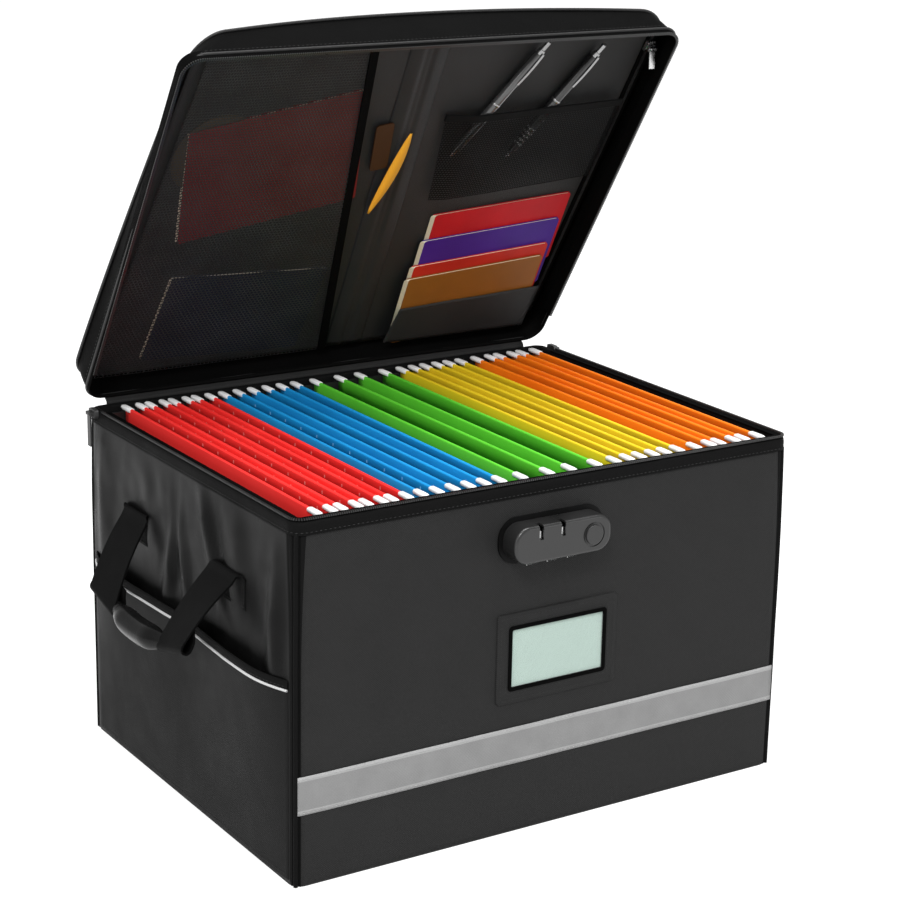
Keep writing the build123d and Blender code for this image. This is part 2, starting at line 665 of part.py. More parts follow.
# ================================================================ side pockets
POCKET_HALF = HALF_DEPTH - CORNER
POCKET_FLARE = (POCKET_GAPE - POCKET_ROOT) / (POCKET_TOP - POCKET_LOW)


def pocket_depth(height):
    """How far the pocket's outer face stands off the wall at a height."""
    return POCKET_ROOT + POCKET_FLARE * (height - POCKET_LOW)


def pocket_outline(sign, height, grow, sink):
    """A slice of a wedge on the side wall: grow moves its outside, sink its inner side."""
    wall = sign * (HALF_WIDTH - sink)
    face = sign * (HALF_WIDTH + pocket_depth(height) + grow)
    end = POCKET_HALF + min(grow, 0)
    return [(wall, -end), (face, -end + POCKET_TAPER), (face, end - POCKET_TAPER), (wall, end)]


def pocket_wedge(sign, low, high, grow, sink):
    with BuildPart() as wedge:
        for height in (low, high):
            with BuildSketch(Plane.XY.offset(height)):
                with BuildLine():
                    Polyline(*pocket_outline(sign, height, grow, sink), close=True)
                make_face()
        loft()
    return wedge.part


bindings = []
for name, sign in (("left_pocket", -1), ("right_pocket", 1)):
    bag = pocket_wedge(sign, POCKET_LOW, POCKET_TOP, 0, 0)
    room = pocket_wedge(sign, POCKET_LOW + POCKET_SKIN, POCKET_TOP + 2, -POCKET_SKIN, 1)
    with BuildPart() as pocket:
        add(bag)
        add(room, mode=Mode.SUBTRACT)
    save(pocket, name)
    # the binding folds over the mouth of the pocket
    band = pocket_wedge(sign, POCKET_TOP - BINDING_DROP, POCKET_TOP + BINDING, BINDING, 0)
    bindings.append(band - bag - room)
with BuildPart() as pocket_bindings:
    add(bindings)
save(pocket_bindings, "pocket_bindings")


# ================================================================ handles
def handle_grip(sign):
    """A moulded grip that hangs in a shallow curve between the two straps."""
    with BuildPart() as grip:
        with BuildLine():
            sag = ThreePointArc((sign * GRIP_END[0], -GRIP_HALF, GRIP_END[1]),
                                (sign * GRIP_MIDDLE[0], 0, GRIP_MIDDLE[1]),
                                (sign * GRIP_END[0], GRIP_HALF, GRIP_END[1]))
        with BuildSketch(Plane(origin=sag @ 0, z_dir=sag % 0)):
            Circle(GRIP_RADIUS)
        sweep(path=sag)
        ends = grip.faces().sort_by(Axis.Y)
        fillet(ends[0].edges() + ends[-1].edges(), 4.0)
    return grip


def handle_straps(sign, grip):
    """Two webbing straps that run down and together from their folds into the grip."""
    out = GRIP_END[0] - HANDLE_AXIS[0]
    drop = HANDLE_AXIS[1] - GRIP_END[1]
    flat = Plane(origin=(sign * HANDLE_AXIS[0], 0, HANDLE_AXIS[1]), x_dir=(0, 1, 0),
                 z_dir=(-drop, 0, -sign * out))
    near = KNUCKLE + 0.1
    far = hypot(out, drop)
    half = STRAP_WIDTH / 2
    with BuildPart() as straps:
        with BuildSketch(flat):
            for end in (-1, 1):
                with BuildLine():
                    Polyline((end * STRAP_TOP_Y - half, near), (end * STRAP_TOP_Y + half, near),
                             (end * STRAP_LOW_Y + half, far), (end * STRAP_LOW_Y - half, far),
                             close=True)
                make_face()
        extrude(amount=STRAP / 2, both=True)
        add(grip.part, mode=Mode.SUBTRACT)
    return straps


for side, sign in (("left", -1), ("right", 1)):
    grip = handle_grip(sign)
    save(grip, f"{side}_grip")
    save(handle_straps(sign, grip), f"{side}_straps")

with BuildPart() as handle_anchors:
    for face in (LEFT, RIGHT):
        with BuildSketch(face.offset(HALF_WIDTH)):
            with Locations((0, ANCHOR_LOW + ANCHOR_HEIGHT / 2)):
                with GridLocations(2 * STRAP_TOP_Y, 0, 2, 1):
                    Rectangle(STRAP_WIDTH, ANCHOR_HEIGHT)
        extrude(amount=ANCHOR)
    for end in (-1, 1):
        with BuildSketch(BACK.offset(end * STRAP_TOP_Y - STRAP_WIDTH / 2)):
            with GridLocations(2 * HANDLE_AXIS[0], 0, 2, 1):
                with Locations((0, HANDLE_AXIS[1])):
                    Circle(KNUCKLE)
        extrude(amount=STRAP_WIDTH)
save(handle_anchors, "handle_anchors")


# ================================================================ lid shell
ACROSS = Plane(origin=lid_point(0, -20.0, 0), x_dir=(1, 0, 0), z_dir=(0, -COSINE, SINE))
LID_SPAN = 400.0


def bowed_sheet(low, high, outline_inset):
    """A sheet bowed across the lid: low and high are the heights of its sides."""
    half = CROWN_WIDTH / 2 + 12
    dip = ARCH * ((2 * half / CROWN_WIDTH) ** 2 - 1)
    low, high = low - dip, high - dip
    rise = ARCH + dip
    with BuildPart() as sheet:
        with BuildSketch(ACROSS):
            with BuildLine():
                ThreePointArc((-half, low), (0, low + rise), (half, low))
                Line((half, low), (half, high))
                ThreePointArc((half, high), (0, high + rise), (-half, high))
                Line((-half, high), (-half, low))
            make_face()
        extrude(amount=LID_SPAN)
        with BuildSketch(LID):
            with Locations((0, CROWN_REAR - CROWN_LENGTH / 2)):
                RectangleRounded(CROWN_WIDTH - 2 * outline_inset, CROWN_LENGTH - 2 * outline_inset,
                                 CROWN_CORNER - outline_inset)
        extrude(amount=3 * CROWN_RISE, mode=Mode.INTERSECT)
    return sheet


COVER_Z = LID_BOARD_Z + LID_BOARD
save(bowed_sheet(COVER_Z, COVER_Z + COVER, 0.0), "lid_cover")
save(bowed_sheet(LID_BOARD_Z, COVER_Z, 6.0), "lid_board")

above_cover = bowed_sheet(COVER_Z, 2 * CROWN_RISE, -10.0).part

with BuildPart() as lid_skirt:
    for inset, how in ((0.0, Mode.ADD), (SKIRT, Mode.SUBTRACT)):
        with BuildSketch(LID.offset(SKIRT_LOW)):
            with Locations((0, LID_REAR - LID_LENGTH / 2)):
                RectangleRounded(LID_WIDTH - 2 * inset, LID_LENGTH - 2 * inset, LID_CORNER - inset)
        with BuildSketch(LID.offset(CROWN_RISE)):
            with Locations((0, CROWN_REAR - CROWN_LENGTH / 2)):
                RectangleRounded(CROWN_WIDTH - 2 * inset, CROWN_LENGTH - 2 * inset, CROWN_CORNER - inset)
        loft(mode=how)
    # the top edge follows the bow of the cover
    add(above_cover, mode=Mode.SUBTRACT)
    # room at the back corners for the parked sliders
    with BuildSketch(LID):
        with Locations((0, -SLIDER_NOTCH / 2)):
            Rectangle(CROWN_WIDTH + 10, SLIDER_NOTCH)
            Rectangle(LID_WIDTH - 20, SLIDER_NOTCH, mode=Mode.SUBTRACT)
    extrude(amount=7.0, mode=Mode.SUBTRACT)
save(lid_skirt, "lid_skirt")

with BuildPart() as lid_zip_tape:
    with BuildSketch(LID.offset(LID_BASE)):
        with Locations((0, LID_REAR - LID_LENGTH / 2)):
            RectangleRounded(LID_WIDTH, LID_LENGTH, LID_CORNER)
            RectangleRounded(LID_WIDTH - 2 * ZIP_WIDTH, LID_LENGTH - 2 * ZIP_WIDTH,
                             LID_CORNER - ZIP_WIDTH, mode=Mode.SUBTRACT)
        with Locations((0, 0)):
            Rectangle(CROWN_WIDTH + 10, 2 * SLIDER_NOTCH, mode=Mode.SUBTRACT)
    extrude(amount=ZIP_HEIGHT)
save(lid_zip_tape, "lid_zip_tape")

LINING_INSET = 9.0
with BuildPart() as lid_lining:
    with BuildSketch(LID.offset(LID_LINING_Z)):
        with Locations((0, CROWN_REAR - CROWN_LENGTH / 2)):
            RectangleRounded(CROWN_WIDTH - 2 * LINING_INSET, CROWN_LENGTH - 2 * LINING_INSET,
                             CROWN_CORNER - LINING_INSET)
    extrude(amount=LINING)
save(lid_lining, "lid_lining")


# ================================================================ inside the lid
def lid_middle(left, right, rear, front):
    """The middle of a rectangle given by its sides and its run from the hinge."""
    return ((left + right) / 2, -(rear + front) / 2)


with BuildPart() as mesh_pocket:
    with BuildSketch(LID.offset(MESH_Z)):
        with BuildLine():
            Polyline((MESH_LEFT, -MESH_REAR), (MESH_RIGHT_REAR, -MESH_REAR),
                     (MESH_RIGHT_FRONT, -MESH_FRONT), (MESH_LEFT + CROWN_CORNER, -MESH_FRONT),
                     (MESH_LEFT, -MESH_FRONT + CROWN_CORNER), close=True)
        make_face()
    extrude(amount=MESH)
save(mesh_pocket, "mesh_pocket")

with BuildPart() as lid_pleat:
    with BuildSketch(LID.offset(LID_LINING_Z - PLEAT)):
        with BuildLine():
            Polyline((PLEAT_REAR_X - PLEAT_WIDTH / 2, -MESH_REAR),
                     (PLEAT_REAR_X + PLEAT_WIDTH / 2, -MESH_REAR),
                     (PLEAT_FRONT_X + PLEAT_WIDTH / 2, -MESH_FRONT),
                     (PLEAT_FRONT_X - PLEAT_WIDTH / 2, -MESH_FRONT), close=True)
        make_face()
    extrude(amount=PLEAT)
save(lid_pleat, "lid_pleat")

with BuildPart() as lid_organizer:
    for sides, height in ((PEN_POCKET, PEN_POCKET_Z), (CARD_POCKET, CARD_POCKET_Z)):
        with BuildSketch(LID.offset(height)):
            with Locations(lid_middle(*sides)):
                Rectangle(sides[1] - sides[0], sides[3] - sides[2])
        extrude(amount=MESH)
save(lid_organizer, "lid_organizer")

with BuildPart() as pocket_zip:
    with BuildSketch(LID.offset(LID_LINING_Z - LINING)):
        with Locations((POCKET_ZIP_X, -(POCKET_ZIP_REAR + POCKET_ZIP_FRONT) / 2)):
            Rectangle(POCKET_ZIP_WIDTH, POCKET_ZIP_FRONT - POCKET_ZIP_REAR)
    extrude(amount=LINING)
save(pocket_zip, "pocket_zip")

POCKET_SLIDER_BASE = LID_LINING_Z - LINING - 0.3
pocket_frame = Plane(origin=lid_point(POCKET_ZIP_X, POCKET_SLIDER_RUN, POCKET_SLIDER_BASE),
                     x_dir=(1, 0, 0), z_dir=(0, -SINE, -COSINE))
save(zip_slider(pocket_frame, SLIDER_ACROSS + 2, SLIDER_ALONG), "pocket_slider")
pocket_pin = lid_point(POCKET_ZIP_X, POCKET_SLIDER_RUN, POCKET_SLIDER_BASE - PIN_HEIGHT)
save(pull_tab(pocket_pin, (1, 0, 0), (0, 0, -1), POCKET_TAB), "pocket_pull")

# Papers kept in the lid: four booklets in steps, and two more behind the mesh.
with BuildPart() as lid_booklets:
    for step, front in enumerate(BOOKLET_FRONTS):
        with BuildSketch(LID.offset(LID_LINING_Z - (BOOKLET + 0.2) * (step + 1))):
            with Locations((BOOKLET_X, BOOKLET_SIZE[1] / 2 - front)):
                Rectangle(*BOOKLET_SIZE)
        extrude(amount=BOOKLET)
    with BuildSketch(LID.offset(LID_LINING_Z - 0.2 - BOOKLET)):
        for x, run, turn, size in MESH_BOOKLETS:
            with Locations(Location((x, -run), turn)):
                Rectangle(*size)
    extrude(amount=BOOKLET)
save(lid_booklets, "lid_booklets")

with BuildPart() as lid_pens:
    for x, run in PEN_TOPS:
        pen_top = lid_point(x, run, PEN_RISE)
        pen_way = tuple(b - a for a, b in zip(pen_top, lid_point(x - PEN_LEAN, run - PEN_LENGTH, PEN_RISE)))
        with BuildSketch(Plane(origin=pen_top, z_dir=pen_way)):
            Circle(PEN_RADIUS)
        extrude(amount=PEN_LENGTH)
save(lid_pens, "lid_pens")
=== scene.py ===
import json
from math import ceil, cos, hypot, pi, radians, sin

import bpy
from mathutils import Matrix, Vector, noise


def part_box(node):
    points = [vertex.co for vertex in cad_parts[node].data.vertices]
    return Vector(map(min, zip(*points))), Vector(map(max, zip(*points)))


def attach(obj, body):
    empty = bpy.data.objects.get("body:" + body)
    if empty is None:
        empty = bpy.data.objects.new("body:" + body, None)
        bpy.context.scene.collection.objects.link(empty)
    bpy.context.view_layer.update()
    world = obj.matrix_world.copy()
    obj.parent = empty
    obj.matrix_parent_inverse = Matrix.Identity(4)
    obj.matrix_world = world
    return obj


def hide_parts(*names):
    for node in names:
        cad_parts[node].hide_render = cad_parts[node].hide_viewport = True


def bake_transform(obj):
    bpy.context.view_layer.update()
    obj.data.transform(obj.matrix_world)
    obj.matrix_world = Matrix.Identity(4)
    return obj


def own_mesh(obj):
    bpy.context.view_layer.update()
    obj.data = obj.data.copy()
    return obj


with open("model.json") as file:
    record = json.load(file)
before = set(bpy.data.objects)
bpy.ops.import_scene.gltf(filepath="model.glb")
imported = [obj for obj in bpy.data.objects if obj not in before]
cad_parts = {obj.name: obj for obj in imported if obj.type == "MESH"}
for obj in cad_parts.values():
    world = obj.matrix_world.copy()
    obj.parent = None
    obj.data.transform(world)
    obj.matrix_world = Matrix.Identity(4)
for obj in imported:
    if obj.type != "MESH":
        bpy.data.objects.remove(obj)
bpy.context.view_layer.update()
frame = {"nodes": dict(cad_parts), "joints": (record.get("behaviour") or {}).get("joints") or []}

# A soft-sided file box with its zipped lid propped open over a row of hanging folders.
# Metres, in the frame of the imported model: +X right, front faces -Y, +Z up.

MM = 0.001
X_AXIS, Y_AXIS, Z_AXIS = Vector((1, 0, 0)), Vector((0, 1, 0)), Vector((0, 0, 1))
TO_LEFT, TO_FRONT = Vector((-1, 0, 0)), Vector((0, -1, 0))


def span(node):
    """A node's lowest and highest corners."""
    low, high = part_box(node)
    return Vector(low), Vector(high)


def mm(*rows, level=0.0):
    """Points given in millimetres, with the second value above a level."""
    return tuple((a * MM, level + b * MM) for a, b in rows)


def clamp(value):
    """The value, kept from 0 to 1."""
    return min(1.0, max(0.0, value))


def smooth(x, y, z):
    """Smooth noise from -1 to 1."""
    return noise.noise(Vector((x, y, z)))

# ---------------------------------------------------------------- sizes taken from the frame
HALF_X, HALF_Y, _ = span("base_cover")[1]
RIM_LOW, RIM_TOP = (corner.z for corner in span("rim_band"))
CORNER = HALF_X - span("front_cover")[1].x
COVER = span("left_cover")[1].x - span("left_cover")[0].x     # thickness of the outer cloth
LINING_SKIN = 0.8 * MM
INSIDE_X = span("lining")[1].x - LINING_SKIN
INSIDE_Y = span("lining")[1].y - LINING_SKIN

hinge = next(joint for joint in frame["joints"] if joint["name"] == "lid_hinge")
HINGE = Vector(hinge["pos_m"])
LID_OPEN = radians(-hinge["range_deg"][0])
LID_RISE = Vector((0, sin(LID_OPEN), cos(LID_OPEN)))
LID_BACK = Vector((0, cos(LID_OPEN), -sin(LID_OPEN)))

ZIP_FRONT = 337 * MM          # run of the lid's front edge from the hinge
ZIP_BACK = 1 * MM
ZIP_HALF = 213 * MM
ZIP_CORNER = 14 * MM
CROWN_FRONT = 337 * MM
CROWN_BACK = -1 * MM
CROWN_HALF = span("lid_cover")[1].x
CROWN_CORNER = 30 * MM
CROWN_PLANE = 38 * MM
SKIRT_LOW = 2.4 * MM
EAVES = 25.4 * MM             # height of the top panel's underside at the lid's sides
ARCH = 12 * MM
LID_LINING = 21.5 * MM
LID_MIDDLE = 168 * MM
SLUMP = 21 * MM               # how far the lid's soft front left corner sinks inwards


def lid(x, run, rise):
    """A point of the lid: run is the way from the hinge to the front edge."""
    forward = max(0.0, run / ZIP_FRONT) ** 1.4
    leftward = max(0.0, -x / ZIP_HALF) ** 2.2
    height = max(0.0, rise / EAVES)
    x += SLUMP * forward * leftward * min(height, 1.2)
    return HINGE + Vector((x, 0, 0)) - LID_BACK * run + LID_RISE * rise


# ---------------------------------------------------------------- node materials
class Nodes:
    """A material's node tree, with short ways to add and join nodes."""

    def __init__(self, name):
        self.material = bpy.data.materials.new(name)
        self.material.use_nodes = True
        self.tree = self.material.node_tree
        self.shader = self.tree.nodes["Principled BSDF"]
        self.out = self.tree.nodes["Material Output"]

    def add(self, kind, inputs=None, **settings):
        made = self.tree.nodes.new(kind)
        for key, value in settings.items():
            setattr(made, key, value)
        for key, value in (inputs or {}).items():
            self.put(made.inputs[key], value)
        return made

    def put(self, socket, value):
        if isinstance(value, bpy.types.NodeSocket):
            self.tree.links.new(value, socket)
        else:
            socket.default_value = value

    def set(self, name, value):
        """Give an input of the shader a value, or join it to a socket."""
        self.put(self.shader.inputs[name], value)

    def total(self, *parts):
        """The sum of (value, weight) pairs."""
        made = self.maths("MULTIPLY", *parts[0])
        for value, weight in parts[1:]:
            made = self.maths("ADD", made, self.maths("MULTIPLY", value, weight))
        return made

    def maths(self, operation, first, second=0.0):
        return self.add("ShaderNodeMath", {0: first, 1: second}, operation=operation).outputs[0]

    def mix(self, share, first, second):
        made = self.add("ShaderNodeMix", data_type="RGBA")
        self.put(made.inputs["Factor"], share)
        self.put(made.inputs["A"], first)
        self.put(made.inputs["B"], second)
        return made.outputs["Result"]

    def remap(self, value, low, high, to_low, to_high):
        made = self.add("ShaderNodeMapRange", {"Value": value, "From Min": low, "From Max": high,
                                               "To Min": to_low, "To Max": to_high})
        return made.outputs["Result"]

    def noise(self, where, scale, detail=2.0, rough=0.5):
        made = self.add("ShaderNodeTexNoise", {"Vector": where, "Scale": scale, "Detail": detail,
                                               "Roughness": rough})
        return made.outputs["Fac"]

    def uv(self):
        return self.add("ShaderNodeTexCoord").outputs["UV"]

    def place(self):
        return self.add("ShaderNodeTexCoord").outputs["Object"]

    def bump(self, height, distance):
        made = self.add("ShaderNodeBump", {"Height": height, "Distance": distance, "Strength": 1.0})
        self.set("Normal", made.outputs["Normal"])

    def clear_where(self, share, tint):
        """See-through where share is 0, and the shader's own surface where it is 1."""
        clear = self.add("ShaderNodeBsdfTransparent", {"Color": tint}).outputs[0]
        blend = self.add("ShaderNodeMixShader", {0: share, 1: clear, 2: self.shader.outputs[0]})
        self.put(self.out.inputs["Surface"], blend.outputs[0])

    def weave(self, where, pitch, across=None):
        """Height of a plain weave, 0 to 1, with threads a pitch apart."""
        parts = self.add("ShaderNodeSeparateXYZ", {0: where}).outputs
        over = self.maths("SINE", self.maths("MULTIPLY", parts[0], 2 * pi / pitch))
        under = self.maths("SINE", self.maths("MULTIPLY", parts[1], 2 * pi / (across or pitch)))
        return self.remap(self.maths("MULTIPLY", over, under), -1, 1, 0, 1)


def grey(value):
    return value, value, value, 1


def cloth_material(name, dark, light, pitch, depth, rough, gloss=0.25, uv=True):
    """Woven cloth: threads in the bump and colour, and soft patches where it has been handled."""
    n = Nodes(name)
    threads = n.weave(n.uv() if uv else n.place(), pitch * MM)
    wear = n.noise(n.place(), 25.0, 4, 0.6)
    fibre = n.noise(n.place(), 900.0, 2)
    tone = n.total((threads, 0.45), (wear, 0.55), (n.maths("SUBTRACT", fibre, 0.5), 0.35))
    n.set("Base Color", n.mix(tone, grey(dark), grey(light)))
    n.set("Roughness", n.remap(wear, 0.3, 0.7, rough - 0.08, rough + 0.08))
    n.set("Specular IOR Level", gloss)
    n.set("Coat Roughness", 0.35)
    n.bump(n.maths("ADD", threads, n.maths("MULTIPLY", fibre, 0.5)), depth)
    return n.material


def plastic_material(name, value, rough, coat=0.0, gloss=0.5):
    """Moulded plastic with a fine grain and slight smudges in its gloss."""
    n = Nodes(name)
    where = n.place()
    smudge = n.noise(where, 45.0, 3)
    pores = n.noise(where, 700.0, 3)
    lighter = grey(min(1.0, value * 1.25 + 0.002))
    n.set("Base Color", n.mix(n.remap(smudge, 0.3, 0.7, 0, 1), grey(value), lighter))
    n.set("Roughness", n.remap(smudge, 0.3, 0.7, rough - 0.05, rough + 0.07))
    n.set("Coat Weight", coat)
    n.set("Specular IOR Level", gloss)
    n.bump(pores, 0.00004)
    return n.material


def metal_material(name, value, rough):
    """Metal with fine scuffs in its colour and gloss."""
    n = Nodes(name)
    scuff = n.noise(n.place(), 350.0, 4, 0.7)
    n.set("Base Color", n.mix(n.remap(scuff, 0.35, 0.75, 0, 0.35), grey(value), grey(0.25)))
    n.set("Metallic", 1.0)
    n.set("Roughness", n.remap(scuff, 0.3, 0.7, rough, rough + 0.18))
    n.bump(scuff, 0.00003)
    return n.material


def card_material(name, colour, deep):
    """Dyed card: fibres mottle the colour, and the tone drifts over a panel."""
    n = Nodes(name)
    where = n.place()
    drift = n.noise(where, 14.0, 3)
    fibre = n.noise(where, 1400.0, 3, 0.7)
    tone = n.total((drift, 0.7), (fibre, 0.4))
    n.set("Base Color", n.mix(n.remap(tone, 0.3, 0.8, 0, 1), colour, deep))
    n.set("Roughness", 0.62)
    n.set("Specular IOR Level", 0.3)
    n.bump(fibre, 0.00003)
    return n.material


def paper_edge_material(name, colour, pitch):
    """The cut edges of a block of pages."""
    n = Nodes(name)
    parts = n.add("ShaderNodeSeparateXYZ", {0: n.uv()})
    leaves = n.maths("SINE", n.maths("MULTIPLY", parts.outputs[1], 2 * pi / pitch))
    darker = tuple(c * 0.72 for c in colour[:3]) + (1,)
    n.set("Base Color", n.mix(n.remap(leaves, -1, 1, 0, 1), darker, colour))
    n.set("Roughness", 0.8)
    return n.material


def mesh_material(name, dark, light, pitch, hole, gloss):
    """Open knitted mesh: round holes in staggered rows, clear where the holes are."""
    n = Nodes(name)
    parts = n.add("ShaderNodeSeparateXYZ", {0: n.uv()})
    across = n.maths("MULTIPLY", parts.outputs[0], 1 / (pitch * MM))
    along = n.maths("MULTIPLY", parts.outputs[1], 1.1547 / (pitch * MM))
    odd = n.maths("MODULO", n.maths("FLOOR", along), 2.0)
    across = n.maths("ADD", across, n.maths("MULTIPLY", odd, 0.5))
    du = n.maths("SUBTRACT", n.maths("FRACT", across), 0.5)
    dv = n.maths("SUBTRACT", n.maths("FRACT", along), 0.5)
    far = n.maths("SQRT", n.maths("ADD", n.maths("MULTIPLY", du, du), n.maths("MULTIPLY", dv, dv)))
    thread = n.remap(far, hole, hole + 0.07, 0, 1)
    n.set("Base Color", n.mix(n.noise(n.place(), 30.0, 3), grey(dark), grey(light)))
    n.set("Roughness", 0.5)
    n.set("Specular IOR Level", gloss)
    n.clear_where(thread, (1, 1, 1, 1))
    n.bump(n.remap(far, 0.3, 0.5, 0, 1), 0.0003)
    return n.material


def film_material(name):
    """Thin clear vinyl: a gloss over what lies behind it."""
    n = Nodes(name)
    n.set("Base Color", (0.8, 0.85, 0.84, 1))
    ripple = n.noise(n.place(), 60.0, 2)
    n.set("Roughness", n.remap(ripple, 0.3, 0.7, 0.06, 0.2))
    n.clear_where(0.16, (0.93, 0.96, 0.95, 1))
    n.bump(ripple, 0.0004)
    return n.material


strip_low, strip_high = span("reflective_strip")
STRIP_HIGH = strip_high.z - strip_low.z
SELVEDGE = 3.4 * MM


def reflective_material(name):
    """Reflective tape: a silver weave of glass beads between two pale selvedges."""
    n = Nodes(name)
    where = n.uv()
    threads = n.weave(where, 1.6 * MM, 1.0 * MM)
    parts = n.add("ShaderNodeSeparateXYZ", {0: where})
    ribs = n.maths("SINE", n.maths("MULTIPLY", n.maths("ADD", parts.outputs[0], parts.outputs[1]),
                                   2 * pi / (2.2 * MM)))
    wear = n.noise(n.place(), 60.0, 4)
    tone = n.total((threads, 0.4), (wear, 0.6))
    middle = n.maths("SUBTRACT", parts.outputs[1], STRIP_HIGH / 2)
    edge = n.maths("GREATER_THAN", n.maths("ABSOLUTE", middle), STRIP_HIGH / 2 - SELVEDGE)
    tone = n.total((tone, 0.5), (edge, 0.5))
    n.set("Base Color", n.mix(tone, grey(0.20), grey(0.46)))
    n.set("Roughness", 0.5)
    n.set("Metallic", 0.15)
    n.bump(n.maths("ADD", threads, n.maths("MULTIPLY", ribs, 0.3)), 0.00012)
    return n.material


outer_cloth = cloth_material("outer_cloth", 0.006, 0.036, 1.6, 0.00022, 0.55, 0.12)
side_cloth = cloth_material("side_cloth", 0.002, 0.011, 1.3, 0.00008, 0.33, 0.060)
pocket_cloth = cloth_material("pocket_cloth", 0.006, 0.026, 1.6, 0.00018, 0.6, 0.06)
binding_cloth = cloth_material("binding_cloth", 0.003, 0.009, 1.0, 0.00014, 0.65, 0.05)
# The lid's cloth sides get a much darker copy of the outer cloth: painted shade, standing in for
# the shadow that the sides lie in.
skirt_painted_shade_cloth = cloth_material("skirt_painted_shade_cloth", 0.001, 0.004, 1.3, 0.00012, 0.60, 0.03)
lining_cloth = cloth_material("lining_cloth", 0.004, 0.011, 0.9, 0.00010, 0.5, 0.12)
lid_lining_cloth = cloth_material("lid_lining_cloth", 0.016, 0.036, 0.9, 0.0001, 0.42, 0.14)
tape_cloth = cloth_material("tape_cloth", 0.001, 0.004, 0.8, 0.00012, 0.7, 0.02)
web_cloth = cloth_material("web_cloth", 0.002, 0.006, 1.3, 0.00020, 0.6, 0.04)
thread_mat = plastic_material("thread", 0.012, 0.7)
piping_mat = cloth_material("piping_cloth", 0.008, 0.03, 0.9, 0.00012, 0.4, 0.3, uv=False)
pale_piping = cloth_material("pale_piping", 0.55, 0.85, 1.4, 0.0002, 0.45, 0.5, uv=False)
teeth_mat = plastic_material("zip_teeth", 0.02, 0.32)
mesh_mat = mesh_material("mesh_cloth", 0.015, 0.068, 3.0, 0.39, 0.2)
fine_mesh = mesh_material("fine_mesh_cloth", 0.003, 0.012, 2.4, 0.40, 0.05)
base_cloth = cloth_material("base_cloth", 0.010, 0.028, 1.5, 0.00016, 0.65, uv=False)
grip_mat = plastic_material("grip_plastic", 0.004, 0.26, gloss=0.12)
lock_mat = plastic_material("lock_plastic", 0.012, 0.32, coat=0.1)
flange_mat = plastic_material("flange_plastic", 0.002, 0.55, gloss=0.1)
rail_mat = plastic_material("rail_plastic", 0.012, 0.4)
tip_mat = plastic_material("rod_tip", 0.82, 0.35)
chrome_mat = metal_material("bright_metal", 0.72, 0.14)
steel_mat = metal_material("plain_steel", 0.5, 0.34)
dark_steel = metal_material("dark_steel", 0.10, 0.45)
board_mat = card_material("greyboard", (0.32, 0.28, 0.22, 1), (0.24, 0.21, 0.17, 1))
reflect_mat = reflective_material("reflective_tape")
strip_thread = plastic_material("strip_thread", 0.42, 0.5)
film_mat = film_material("clear_film")
label_mat = card_material("label_card", (0.73, 0.835, 0.775, 1), (0.67, 0.775, 0.72, 1))
page_mat = paper_edge_material("page_edges", (0.85, 0.77, 0.58, 1), 0.35 * MM)

FOLDER_COLOURS = {
    "red": ((1.0, 0.042, 0.036, 1), (0.90, 0.022, 0.020, 1)),
    "blue": ((0.010, 0.34, 0.74, 1), (0.006, 0.25, 0.60, 1)),
    "green": ((0.14, 0.68, 0.045, 1), (0.09, 0.54, 0.025, 1)),
    "yellow": ((0.88, 0.68, 0.020, 1), (0.80, 0.55, 0.012, 1)),
    "orange": ((1.0, 0.25, 0.006, 1), (0.95, 0.17, 0.004, 1)),
}
folder_mats = {c: card_material(f"{c}_card", *tones) for c, tones in FOLDER_COLOURS.items()}


# ---------------------------------------------------------------- mesh making
def new_object(name, data):
    """An object that is linked into the scene."""
    made = bpy.data.objects.new(name, data)
    bpy.context.scene.collection.objects.link(made)
    return made


def thicken(piece, thick, offset=-1.0):
    """Give a sheet its thickness, behind its face unless the offset says otherwise."""
    solid = piece.modifiers.new("thickness", "SOLIDIFY")
    solid.thickness = thick
    solid.offset = offset


def add_mesh(name, points, faces, material, body, uvs=None, sharp=40.0):
    """A mesh piece that rides on a body.  uvs has one pair for each point."""
    mesh = bpy.data.meshes.new(name)
    mesh.from_pydata([tuple(p) for p in points], [], faces)
    mesh.update()
    if uvs is not None:
        layer = mesh.uv_layers.new(name="cloth")
        for loop in mesh.loops:
            layer.data[loop.index].uv = uvs[loop.vertex_index]
    mesh.shade_smooth()
    mesh.set_sharp_from_angle(angle=radians(sharp))
    mesh.materials.append(material)
    piece = new_object(name, mesh)
    if body:
        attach(piece, body)
    return piece


def grid_faces(columns, rows, closed=False):
    """Quads of a grid with columns + 1 by rows + 1 points, or a ring of columns."""
    wide = columns if closed else columns + 1
    faces = []
    for j in range(rows):
        for i in range(columns):
            k = (i + 1) % wide
            faces.append((j * wide + i, j * wide + k, (j + 1) * wide + k, (j + 1) * wide + i))
    return faces


def flipped(faces):
    """The same faces, turned to look the other way."""
    return [tuple(reversed(face)) for face in faces]


def shifted(faces, start):
    """The same faces for points that begin at an index."""
    return [tuple(start + k for k in face) for face in faces]


def end_faces(count, rings):
    """The first and last face of a tube of rings with count points each."""
    return [tuple(range(count)), tuple(reversed(range((rings - 1) * count, rings * count)))]


def closed_tube(count, rings):
    """The faces of a tube of rings, with its ends."""
    return flipped(grid_faces(count, rings - 1, closed=True)) + end_faces(count, rings)


